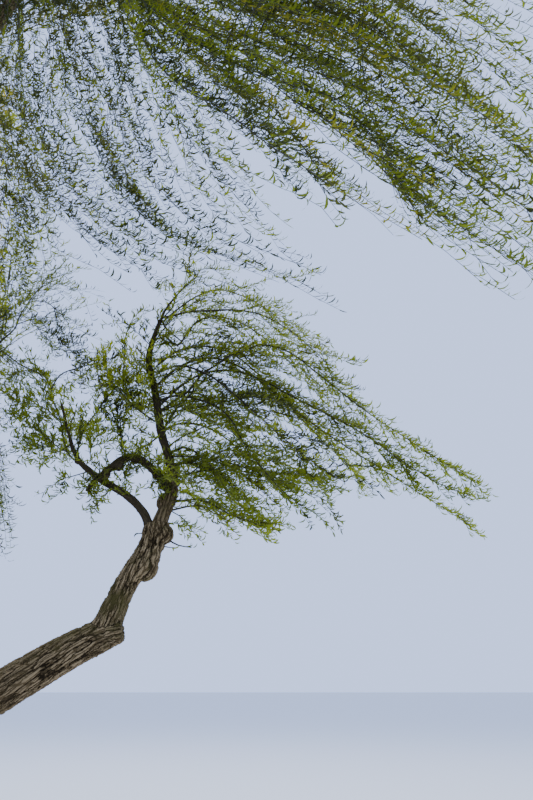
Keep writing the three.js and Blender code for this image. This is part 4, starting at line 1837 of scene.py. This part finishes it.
LEFT_BRANCHES = (
    Branch((272, 0, 512, 272, 0, 522, 270, 0, 529), 0.012, 0.009, BARE_SPROUTS, 0.9),
    Branch((201, 0, 363, 195, 1, 369, 186, 3, 387, 179, 6, 409, 172, 7, 423, 165, 9, 438, 164, 10,
        447), 0.010, 0.006, LEFT_SPROUTS, 0.1),
    Branch((164, 10, 447, 168, 9, 457, 174, 9, 464, 185, 8, 468, 196, 8, 472, 208, 7, 473, 221, 7,
        467, 237, 6, 463, 254, 5, 459), 0.008, 0.003, THIN_SPROUTS, 0.3),
    Branch((164, 10, 445, 153, 12, 461, 140, 14, 468, 127, 16, 470, 116, 18, 465, 104, 20, 455),
        0.007, 0.002, LEFT_SPROUTS),
    Branch((204, 0, 365, 204, -2, 380, 207, -3, 392, 214, -5, 405, 222, -7, 416, 229, -9, 428, 237,
        -10, 438, 246, -12, 443, 257, -13, 443, 272, -15, 437), 0.010, 0.004, LEFT_SPROUTS),
    Branch((277, 0, 404, 263, -1, 414, 251, -3, 423, 241, -5, 435, 230, -6, 447, 225, -7, 457, 220,
        -9, 471, 213, -10, 481), 0.010, 0.004, LEFT_SPROUTS),
    Branch((213, -10, 481, 214, -10, 463, 219, -11, 446, 223, -11, 433, 230, -11, 421, 238, -12,
        405, 245, -12, 390), 0.006, 0.004, LEFT_SPROUTS),
    Branch((240, 0, 443, 239, 2, 477, 237, 3, 501, 240, 3, 519, 247, 4, 535, 258, 5, 544), 0.006,
        0.0015, THIN_SPROUTS, 0.35),
    Branch((236, 2, 503, 232, 2, 514, 220, 2, 529, 217, 2, 538, 215, 2, 548), 0.004, 0.002,
        BARE_SPROUTS, 0.8),
    Branch((250, -9, 364, 247, -7, 381, 242, -8, 400, 242, -9, 419, 253, -10, 430), 0.007, 0.003,
        LEFT_SPROUTS),
    Branch((285, 0, 390, 271, -1, 378, 261, -4, 369, 255, -5, 363), 0.009, 0.005, LEFT_SPROUTS),
    Branch((219, 0, 352, 199, 1, 346, 191, 2, 344, 184, 3, 339, 177, 4, 336, 173, 5, 326), 0.006,
        0.002, THIN_SPROUTS, 0.25),
    Branch((244, 0, 336, 232, 0, 325, 226, 0, 315, 223, 0, 311), 0.005, 0.002, THIN_SPROUTS),
    Branch((197, 0, 370, 184, 2, 376, 170, 5, 388, 153, 9, 400, 133, 12, 413, 116, 15, 421), 0.007,
        0.002, LEFT_SPROUTS),
    Branch((197, 0, 380, 183, -3, 370, 172, -6, 371, 163, -9, 374, 153, -12, 379, 145, -15, 381),
        0.006, 0.002, LEFT_SPROUTS),
    Branch((231, -10, 348, 221, -11, 358, 220, -13, 371, 225, -17, 382, 234, -20, 387), 0.005,
        0.002, LEFT_SPROUTS),
    Branch((272, 0, 310, 262, -2, 322, 256, -5, 334, 253, -6, 345, 258, -8, 352, 270, -10, 353),
        0.004, 0.002, THIN_SPROUTS, 0.3),
    Branch((179, 5, 408, 163, 10, 421, 148, 15, 430, 131, 20, 435, 114, 25, 435), 0.006, 0.002,
        LEFT_SPROUTS),
)

EDGE_BRANCHES = (
    Branch((90, 5, 475, 105, -6, 490, 120, -6, 510, 122, -5, 526, 130, -4, 548, 141, -3, 570, 150,
        -2, 586, 156, -1, 596, 163, 0, 609), 0.012, 0.003, THIN_SPROUTS),
    Branch((149, 0, 587, 158, 1, 586, 169, 2, 575, 180, 3, 563, 188, 4, 549, 195, 5, 534, 198, 5,
        526), 0.004, 0.0015, BARE_SPROUTS, 0.1),
    Branch((119, 0, 519, 137, -2, 524, 148, -4, 517, 160, -5, 503, 176, -7, 489, 194, -10, 472),
        0.006, 0.002, LEFT_SPROUTS),
    Branch((129, 0, 549, 145, 1, 548, 159, 3, 538, 172, 4, 523, 177, 5, 506, 185, 7, 487, 191, 8,
        471, 193, 10, 447), 0.005, 0.0015, LEFT_SPROUTS),
    Branch((87, 5, 477, 109, -6, 482, 131, -2, 468, 148, 1, 461, 164, 5, 446), 0.010, 0.004,
        LEFT_SPROUTS),
    Branch((95, 5, 482, 105, -15, 524, 121, -18, 523, 141, -22, 511, 161, -26, 489, 177, -30, 470),
        0.006, 0.002, LEFT_SPROUTS),
    Branch((107, 0, 500, 107, -4, 547, 108, -8, 566, 112, -11, 580, 124, -14, 586, 141, -17, 573,
        151, -20, 557), 0.005, 0.0015, THIN_SPROUTS),
)

STREAMS_LEFT = (
    Sweep((104, -140, 863, 18, 105, -135, 761, 26, 128, -137, 670, 28, 158, -142, 587, 28, 184,
        -147, 526, 21, 204, -152, 486, 13), 9),
    Sweep((116, -143, 861, 20, 138, -147, 776, 32, 147, -147, 707, 32, 178, -155, 639, 30, 214,
        -165, 573, 27, 252, -178, 517, 26, 301, -197, 463, 18, 341, -215, 428, 10), 12),
    Sweep((90, -124, 880, 20, 100, -123, 793, 29, 115, -123, 715, 34, 149, -130, 639, 30, 186,
        -140, 582, 27, 217, -149, 538, 24, 254, -161, 496, 17, 290, -174, 452, 10, 304, -180, 433,
        6), 9),
    Sweep((148, -153, 877, 22, 171, -156, 786, 41, 193, -159, 706, 41, 221, -165, 638, 36, 249,
        -173, 580, 30, 274, -181, 538, 21, 296, -188, 504, 12), 11),
    Sweep((163, -149, 900, 20, 193, -156, 810, 30, 222, -163, 722, 27, 247, -171, 650, 20, 270,
        -179, 591, 15, 293, -188, 542, 11), 6),
    Sweep((115, -114, 900, 24, 138, -116, 803, 52, 168, -121, 703, 56, 205, -130, 624, 48, 241,
        -141, 564, 39, 288, -156, 502, 24, 328, -172, 471, 11), 11),
    Sweep((194, -167, 896, 20, 219, -171, 800, 24, 241, -176, 747, 27, 263, -182, 692, 27, 278,
        -185, 640, 31, 296, -190, 579, 29, 315, -196, 526, 27, 344, -208, 481, 19, 378, -223, 446,
        11, 414, -241, 410, 4), 12),
    Sweep((201, -160, 900, 20, 238, -163, 795, 29, 267, -171, 712, 41, 293, -179, 645, 41, 316,
        -186, 583, 37, 339, -195, 535, 30, 367, -207, 489, 19, 393, -220, 451, 10), 12),
    Sweep((143, -134, 904, 10, 192, -145, 779, 17, 226, -153, 679, 19, 253, -161, 605, 18, 281,
        -170, 548, 17, 310, -182, 506, 12, 339, -194, 469, 9, 365, -207, 445, 4), 8),
)

STREAMS_MIDDLE = (
    Sweep((238, -190, 875, 12, 261, -208, 744, 19, 279, -220, 681, 21, 295, -231, 635, 26, 320,
        -247, 584, 28, 348, -266, 542, 26, 373, -284, 499, 25, 393, -303, 457, 17, 409, -320, 425,
        13, 421, -337, 396, 10, 425, -345, 377, 3), 9, 0.1),
    Sweep((243, -176, 890, 13, 278, -181, 784, 21, 309, -191, 707, 29, 335, -201, 640, 31, 357,
        -210, 586, 28, 374, -219, 537, 23, 387, -225, 496, 14, 400, -233, 468, 9), 5),
    Sweep((263, -180, 880, 13, 306, -185, 772, 24, 344, -198, 684, 33, 373, -209, 621, 32, 393,
        -218, 572, 26, 412, -228, 527, 17, 426, -236, 500, 9), 4),
    Sweep((386, -237, 581, 2, 402, -244, 549, 2, 414, -250, 518, 2, 427, -257, 484, 2, 442, -266,
        458, 2, 464, -281, 411, 1), 2, 0.02),
)

STREAMS_SPRAY = (
    Sweep((270, -198, 855, 6, 314, -212, 733, 8, 349, -226, 648, 7, 372, -237, 592, 5, 387, -245,
        558, 5, 402, -255, 516, 6, 418, -266, 477, 5, 431, -275, 447, 3)),
    Sweep((270, -198, 855, 6, 312, -211, 726, 8, 344, -223, 644, 7, 366, -233, 591, 5, 381, -241,
        551, 5, 394, -249, 513, 4, 409, -258, 478, 3)),
)

SPRAY_FILL = Fill(stems=1, shoots=2, laterals=0.5, stem_radius=0.005, spread=0.34,
                  reach=(0.95, 1.05), start=(0.6, 0.8), lateral=(0.06, 0.14),
                  stem_end=(0.75, 0.9), even=True)

STREAMS_DENSE = (
    Sweep((207, -179, 874, 10, 252, -190, 796, 18, 302, -204, 720, 23, 353, -220, 658, 25, 393,
        -236, 610, 26, 429, -251, 568, 24, 460, -267, 528, 23, 489, -285, 480, 19, 513, -303, 429,
        17, 532, -324, 375, 14, 550, -335, 342, 10), 33),
    Sweep((219, -175, 890, 14, 270, -178, 818, 28, 333, -198, 741, 34, 380, -215, 698, 34, 418,
        -230, 655, 32, 454, -247, 605, 28, 484, -263, 553, 27, 511, -282, 494, 24, 536, -305, 431,
        21, 553, -325, 380, 16), 33),
    Sweep((290, -204, 847, 11, 335, -217, 781, 25, 381, -233, 717, 31, 423, -249, 668, 31, 459,
        -265, 617, 29, 489, -281, 561, 26, 513, -297, 507, 25, 532, -315, 454, 21, 548, -330, 401,
        16, 568, -335, 376, 11), 31),
    Sweep((348, -215, 835, 11, 393, -224, 778, 25, 435, -240, 716, 27, 472, -257, 658, 27, 499,
        -271, 603, 26, 519, -285, 553, 21, 538, -301, 496, 20, 554, -319, 437, 16, 574, -325, 402,
        12), 25),
    Sweep((321, -190, 857, 9, 356, -202, 783, 19, 395, -215, 713, 27, 432, -231, 649, 33, 464,
        -247, 594, 32, 493, -263, 541, 27, 517, -280, 487, 23, 539, -301, 429, 17), 28),
)

STREAMS_RIGHT = (
    Sweep((405, -234, 811, 9, 440, -248, 739, 10, 469, -262, 677, 11, 492, -275, 622, 9, 510, -287,
        574, 7, 521, -297, 532, 6, 534, -309, 491, 7, 549, -327, 441, 7, 569, -335, 404, 4), 9),
    Sweep((466, -258, 790, 6, 494, -272, 725, 8, 517, -286, 664, 9, 534, -298, 612, 7, 547, -309,
        573, 6, 558, -321, 536, 6, 572, -335, 492, 6, 600, -335, 464, 6), 11),
    Sweep((328, -219, 686, 13, 361, -231, 631, 17, 388, -242, 580, 20, 413, -253, 535, 25, 439,
        -266, 495, 25, 461, -279, 460, 24, 480, -292, 428, 20, 497, -306, 395, 15, 511, -320, 365,
        11, 523, -335, 335, 7), 6),
    Sweep((388, -253, 586, 11, 420, -266, 539, 20, 447, -280, 500, 21, 472, -294, 462, 21, 493,
        -309, 421, 20, 510, -324, 386, 16, 527, -338, 342, 9), 13),
    Sweep((437, -250, 542, 13, 460, -264, 501, 13, 475, -274, 462, 11, 485, -282, 433, 9, 497,
        -291, 406, 9, 509, -302, 382, 7, 523, -320, 344, 4), 7, 0.06),
    Sweep((453, -248, 538, 12, 472, -260, 490, 14, 489, -272, 452, 12, 507, -285, 417, 10, 522,
        -299, 389, 6, 539, -320, 349, 6), 6, 0.06),
    Sweep((465, -278, 481, 6, 474, -286, 434, 5, 480, -292, 409, 3, 489, -300, 385, 2), 4, 0.03),
    Sweep((487, -292, 498, 9, 506, -309, 443, 9, 521, -326, 400, 8, 532, -338, 365, 7), 4, 0.1),
)

LONG_STEM = Branch((239, -200, 847, 260, -205, 750, 278, -215, 688, 294, -227, 641, 319, -242, 591,
    348, -262, 546, 372, -282, 501, 393, -300, 460, 409, -318, 427, 421, -330, 402), 0.009, 0.003,
    Sprouts(rate=6.0, length=(0.2, 0.6), ahead=1.0, splay=0.5, shorten=0.3), 0.3)
BARE_LINES = (
    Branch((514, -275, 609, 523, -285, 585, 530, -295, 564, 539, -300, 555, 548, -305, 546), 0.003,
        0.0015, DEAD, 0.95),
    Branch((515, -278, 600, 523, -288, 577, 528, -298, 558, 544, -305, 544, 559, -315, 525), 0.003,
        0.0015, DEAD, 0.95),
    Branch((416, -260, 617, 436, -270, 553, 448, -280, 513, 462, -290, 471, 471, -300, 439), 0.005,
        0.002, Sprouts(rate=4.0, length=(0.1, 0.3)), 0.6),
)

NEAR_OUTER = Mass((-95, -100, 878, 15, -119, 906), (80, -115, 519, 180, -140, 495), (-26, 0, -9),
    30)
NEAR_LEFT = Mass((10, -119, 906, 115, -142, 912), (176, -144, 492, 266, -174, 470), (-29, 0, -11),
    30)
NEAR_LONG = Mass((112, -143, 912, 195, -168, 900), (262, -175, 462, 348, -206, 426), (-31, 0, -11),
    29)
NEAR_DENSE = Mass((333, -214, 845, 415, -243, 819), (476, -282, 410, 542, -320, 342), (17, 0, 19),
    30)
NEAR_FAR = Mass((413, -243, 818, 468, -263, 795), (536, -321, 344, 586, -333, 376), (28, 0, 25),
    28)
NEAR_END = Mass((466, -263, 794, 508, -280, 770), (580, -331, 416, 630, -335, 462), (28, 0, 24),
    24)
EDGE_CURTAIN = Mass((44, -56, 466, 50, 62, 466), (146, -43, 270, 144, 36, 265), (0, 0, 12), 20)
EDGE_FOLIAGE = Mass((70, -56, 495, 70, 62, 498), (182, -42, 585, 180, 48, 590), (0, 0, 14), 34)

# Weights of the tints in order; the third is the painted-shade tint, heaviest on the left and
# middle curtains.
CROWN_TINTS = (0.50, 0.35, 0.03, 0.12, 0.00)
WINDWARD_TINTS = (0.25, 0.37, 0.12, 0.26, 0.00)
LEFT_TINTS = (0.07, 0.22, 0.42, 0.29, 0.00)
MIDDLE_TINTS = (0.12, 0.28, 0.32, 0.27, 0.01)
DENSE_TINTS = (0.38, 0.32, 0.06, 0.15, 0.09)
ROUND_TINTS = (0.26, 0.32, 0.16, 0.20, 0.06)

DOME_MASSES = (
    (Mass((-10, -25, 905, 30, -150, 908), (370, -150, 848, 345, -290, 835), (0, 0, 34), 24),
     Fill(9, 60, 5.0)),
    (Mass((-165, -90, 842, -160, 115, 838), (70, -105, 876, 45, 105, 870), (0, 0, 52), 36),
     Fill(10, 64, 5.0)),
    (Mass((-145, -130, 815, -145, 135, 810), (-320, -135, 660, -320, 140, 655), (0, 0, 46), 38),
     Fill(12, 84, 5.0)),
    (Mass((-160, -85, 825, 50, -120, 852), (-175, -250, 695, 65, -275, 720), (0, 0, 40), 34),
     Fill(10, 70, 5.0)),
    (Mass((-160, 95, 820, 35, 90, 845), (-180, 260, 680, 25, 250, 705), (0, 0, 40), 34),
     Fill(10, 70, 5.0)),
    (Mass((-35, 45, 895, -70, 170, 850), (145, 55, 798, 70, 205, 780), (0, 0, 26), 26),
     Fill(5, 16, 3.0, tints=LEFT_TINTS)),
)
FRONT_MASSES = (
    (Mass((-180, -240, 720, 60, -275, 735), (-90, -305, 265, 140, -320, 295), (0, 0, 34), 38),
     Fill(13, 78, 5.0)),
    (Mass((-325, -145, 670, -175, -250, 700), (-270, -210, 215, -90, -300, 245), (0, 0, 32), 38),
     Fill(12, 74, 5.0)),
    (Mass((-100, -125, 790, 50, -145, 820), (-25, -170, 370, 100, -185, 400), (0, 0, 18), 27),
     Fill(7, 32, 4.0, tints=LEFT_TINTS)),
)
LEFT_MASSES = (
    (Mass((-340, 125, 665, -330, -150, 670), (-320, 115, 195, -285, -175, 200), (0, 0, 36), 40),
     Fill(14, 84, 5.0)),
    (Mass((-175, 265, 685, -335, 120, 665), (-115, 305, 235, -300, 145, 205), (0, 0, 32), 38),
     Fill(12, 88, 5.0)),
)
BACK_MASSES = (
    (Mass((-15, 245, 715, -185, 265, 690), (-35, 285, 255, -125, 310, 235), (0, 0, 34), 37),
     Fill(12, 92, 5.0)),
    (Mass((30, 45, 835, -20, 220, 760), (-20, 80, 430, -40, 260, 340), (0, 0, 26), 28),
     Fill(8, 30, 4.0, tints=LEFT_TINTS)),
)

LEANING_LIMBS = ("upright_leader", "lower_left_bough", "arching_bough", "tip_branch")
HIGH_LIMBS = ("over_bough", "top_bough", "left_bough", "front_bough", "back_bough",
              "front_left_bough", "back_left_bough")

TUFT = Sprouts(rate=16.0, length=(0.10, 0.55), ahead=0.3, splay=1.0, lean=(0.15, 0.0, 0.2),
               shorten=0.0)
CROWN_TUFTS = (
    Tufts("upright_leader", (0.14, 0.80), Sprouts(
        rate=46.0, length=(0.15, 1.05), ahead=0.25, splay=0.9, lean=(0.40, -0.15, 0.25),
        shorten=0.0)),
    Tufts("upright_leader", (0.70, 1.0), Sprouts(
        rate=56.0, length=(0.08, 0.42), ahead=0.3, splay=1.0, lean=(-0.05, -0.4, 0.1),
        shorten=0.0)),
    Tufts("lower_left_bough", (0.42, 1.0), TUFT),
    Tufts("arching_bough", (0.0, 0.8), Sprouts(
        rate=75.0, length=(0.05, 0.24), ahead=0.3, splay=1.0, lean=(0.1, -0.5, 0.1),
        shorten=0.0)),
    Tufts("arching_bough", (0.8, 1.0), Sprouts(
        rate=150.0, length=(0.06, 0.28), ahead=0.4, splay=1.0, lean=(0.0, -0.3, -0.2),
        shorten=0.0)),
    Tufts("tip_branch", (0.2, 1.0), TUFT),
)
CROWN_ARCHES = (
    Arches("upright_leader", (0.20, 0.90), 16, (0.9, 1.85), (0.9, 0.0, 0.7), 0.42,
           Sprouts(rate=10.0, length=(0.3, 0.9)), 0.0075, 0.45),
    Arches("upright_leader", (0.30, 0.95), 2, (0.4, 0.8), (-0.8, 0.0, 0.9), 0.5,
           Sprouts(rate=8.0, length=(0.12, 0.4)), 0.006, 0.35),
)
BOUGH_TUFTS = (Tufts("over_bough", (0.50, 1.0), Sprouts(
    rate=50.0, length=(0.25, 0.9), ahead=0.2, splay=1.0, lean=(0.1, -0.2, -0.2), shorten=0.0)),)
END_SPAN = (0.66, 1.0)
END_SPROUTS = Sprouts(rate=34.0, length=(0.2, 0.8), ahead=0.2, splay=0.55, lean=(0.0, 0.0, -0.3),
                      shorten=0.0)


def streams(sweeps: Sequence[Sweep],
            reach: tuple[float, float] = (0.72, 1.04)) -> tuple[tuple[Sweep, Fill], ...]:
    """Streams with the way each is filled."""
    return tuple((sweep, stream_fill(sweep, reach)) for sweep in sweeps)


def upper_fill(shoots: int, reach: tuple[float, float]) -> Fill:
    """How the top of a near mass is filled, close to its bough."""
    return Fill(max(3, shoots // 7), shoots, laterals=2.0, stem_radius=0.007, spread=0.14,
                reach=reach, start=(0.02, 0.16), lateral=(0.1, 0.3), stem_end=(0.2, 0.32))


def near_regions() -> list[Region]:
    """Lists the regions of the leaning trunk, the edge and the near curtain.

    Returns:
        The regions, in the order in which they grow.
    """
    near = Leafing()
    crown = Leafing(spacing=0.030, length=0.077, most=2, ahead=0.8, outward=0.55,
                    downwind=(0.25, 0.0, -0.05), lift=(0.0, -0.9, 0.45))
    spray = Leafing(spacing=0.050, length=0.122, most=2, ahead=0.9, outward=0.4)
    over = ("over_bough",)
    return [
        Region("crown_lee", ("crest_foliage", "upper_swept_foliage", "long_swept_foliage",
                             "middle_swept_foliage", "lower_swept_foliage", "fork_foliage"),
               LEANING_LIMBS, CROWN_HABIT, crown, CROWN_TINTS, 11,
               branches=RIGHT_BRANCHES, tufts=CROWN_TUFTS[:1], arches=CROWN_ARCHES[:1]),
        Region("crown_windward", ("left_crest_foliage", "left_swept_foliage",
                                  "left_low_foliage", "arch_end_foliage"),
               LEANING_LIMBS, LEFT_HABIT, crown, WINDWARD_TINTS, 21,
               branches=LEFT_BRANCHES, tufts=CROWN_TUFTS[1:], arches=CROWN_ARCHES[1:]),
        Region("edge", ("edge_foliage", "edge_curtain"),
               ("inner_right_bough",), EDGE_HABIT, near, MIDDLE_TINTS, 12,
               bodies=((EDGE_FOLIAGE, Fill(5, 12, 2.0, 0.006)),
                       (EDGE_CURTAIN, Fill(5, 27, 2.0, 0.006))),
               branches=EDGE_BRANCHES),
        Region("near_left", ("near_curtain_outer", "near_curtain_left", "near_curtain_long"),
               over, CURTAIN_HABIT, near, LEFT_TINTS, 13,
               bodies=(*streams(STREAMS_LEFT, (0.82, 1.05)),
                       (NEAR_OUTER, Fill(6, 20, 3.0, 0.008, reach=(0.55, 0.95))),
                       (NEAR_LEFT, upper_fill(16, (0.1, 0.2))),
                       (NEAR_LONG, upper_fill(12, (0.1, 0.2)))),
               tufts=BOUGH_TUFTS),
        Region("near_middle", ("near_curtain_middle",),
               over, CURTAIN_HABIT, near, MIDDLE_TINTS, 23,
               bodies=streams(STREAMS_MIDDLE), branches=(LONG_STEM,)),
        Region("near_spray", ("near_curtain_spray",),
               over, CURTAIN_HABIT, spray, MIDDLE_TINTS, 53,
               bodies=tuple((sweep, SPRAY_FILL) for sweep in STREAMS_SPRAY)),
        Region("near_dense", ("near_curtain_dense",),
               over, CURTAIN_HABIT, near, DENSE_TINTS, 33,
               bodies=(*streams(STREAMS_DENSE, (0.42, 1.02)),
                       (NEAR_DENSE, upper_fill(16, (0.2, 0.34)))),
               branches=BARE_LINES),
        Region("near_right", ("near_curtain_far", "near_curtain_end"),
               over, CURTAIN_HABIT, near, DENSE_TINTS, 43,
               bodies=(*streams(STREAMS_RIGHT, (0.6, 1.03)),
                       (NEAR_FAR, upper_fill(9, (0.15, 0.25))),
                       (NEAR_END, upper_fill(8, (0.18, 0.28))))),
    ]


def side_regions() -> list[Region]:
    """Lists the regions of the crown's top and its other sides.

    Returns:
        The regions, in the order in which they grow.
    """
    leafing = Leafing(spacing=0.085, length=0.138, most=2, downwind=(0.3, 0.0, -0.1),
                      lift=(0.0, -0.6, 0.6))
    sides = (
        ("dome", ("over_dome_foliage", "top_foliage", "left_dome_foliage", "front_dome_foliage",
                  "back_dome_foliage", "back_right_dome_foliage"), 14, DOME_MASSES, ()),
        ("front_curtain", ("front_curtain", "front_left_curtain", "inner_front_curtain"), 15,
         FRONT_MASSES, ("front_bough", "front_left_bough")),
        ("left_curtain", ("left_curtain", "back_left_curtain"), 16,
         LEFT_MASSES, ("left_bough", "back_left_bough")),
        ("back_curtain", ("back_curtain", "back_right_curtain"), 17,
         BACK_MASSES, ("back_bough",)),
    )
    return [Region(name, nodes, HIGH_LIMBS, HANGING_HABIT, leafing, ROUND_TINTS, seed,
                   bodies=masses, tufts=tuple(Tufts(limb, END_SPAN, END_SPROUTS) for limb in ends))
            for name, nodes, seed, masses, ends in sides]


# Studio


@dataclass(frozen=True)
class Studio:
    """Camera, light, world and floor."""

    eye: Point = (3.9, -5.8, 1.6)
    pitch: float = 24.8
    lens: float = 28.0
    sight: float = 500.0
    floor_half: float = 240.0
    sky: Colour = (0.545, 0.69, 1.09)
    sky_strength: float = 1.60
    lamp_place: Point = (3.0, 3.0, 17.0)
    lamp_aim: Point = (1.0, 0.0, 4.0)
    lamp_size: float = 14.0
    lamp_power: float = 2600.0
    lamp_colour: Colour = (1.0, 0.98, 0.93)

    def build(self) -> None:
        """Sets up everything that isn't the tree."""
        self._camera()
        self._world()
        self._lights()
        half = self.floor_half
        floor = mesh_object("floor", np.array(((-half, -half, 0), (half, -half, 0), (half, half, 0),
                                               (-half, half, 0))), [(0, 1, 2, 3)])
        floor.data.materials.append(FloorFinish().material())

    def _camera(self) -> None:
        """The camera at the photograph's viewing angle."""
        data = bpy.data.cameras.new("camera")
        data.lens = self.lens
        data.clip_end = self.sight
        camera = linked("camera", data)
        camera.location = self.eye
        camera.rotation_euler = (math.radians(90 + self.pitch), 0.0, 0.0)
        bpy.context.scene.camera = camera

    def _world(self) -> None:
        """A pale overcast world."""
        world = bpy.data.worlds.new("overcast")
        world.use_nodes = True
        world.node_tree.nodes.clear()
        nodes = Nodes(world.node_tree)
        back = nodes.add("ShaderNodeBackground", None, {
            "Color": self.sky, "Strength": self.sky_strength})
        nodes.add("ShaderNodeOutputWorld", None, {"Surface": back})
        bpy.context.scene.world = world

    def _lights(self) -> None:
        """A wide soft lamp high above."""
        data = bpy.data.lights.new("overhead", "AREA")
        data.shape = "DISK"
        data.size = self.lamp_size
        data.energy = self.lamp_power
        data.color = self.lamp_colour
        lamp = linked("overhead", data)
        lamp.location = self.lamp_place
        aim = Vector(self.lamp_place) - Vector(self.lamp_aim)
        lamp.rotation_euler = aim.to_track_quat("Z", "Y").to_euler()


def main() -> None:
    """Builds the studio and the tree."""
    logging.basicConfig(level=logging.INFO, format="%(name)s: %(message)s")
    Studio().build()
    bark = BarkFinish().material()
    for skin in SKINS:
        skin.build(bark)
    twig_tree = TwigMaker().tree()
    maker = LeafMaker()
    leaf_tree = maker.tree()
    templates = maker.templates()
    twig_finish = TwigFinish().material()
    leaf_finishes = {tint: finish.material() for tint, finish in LEAF_FINISHES.items()}
    for region in (*near_regions(), *side_regions()):
        region.build(twig_tree, leaf_tree, templates, twig_finish, leaf_finishes)
    for leaf in list(templates.objects):
        delete(leaf)
    bpy.data.collections.remove(templates)


if __name__ == "__main__":
    main()
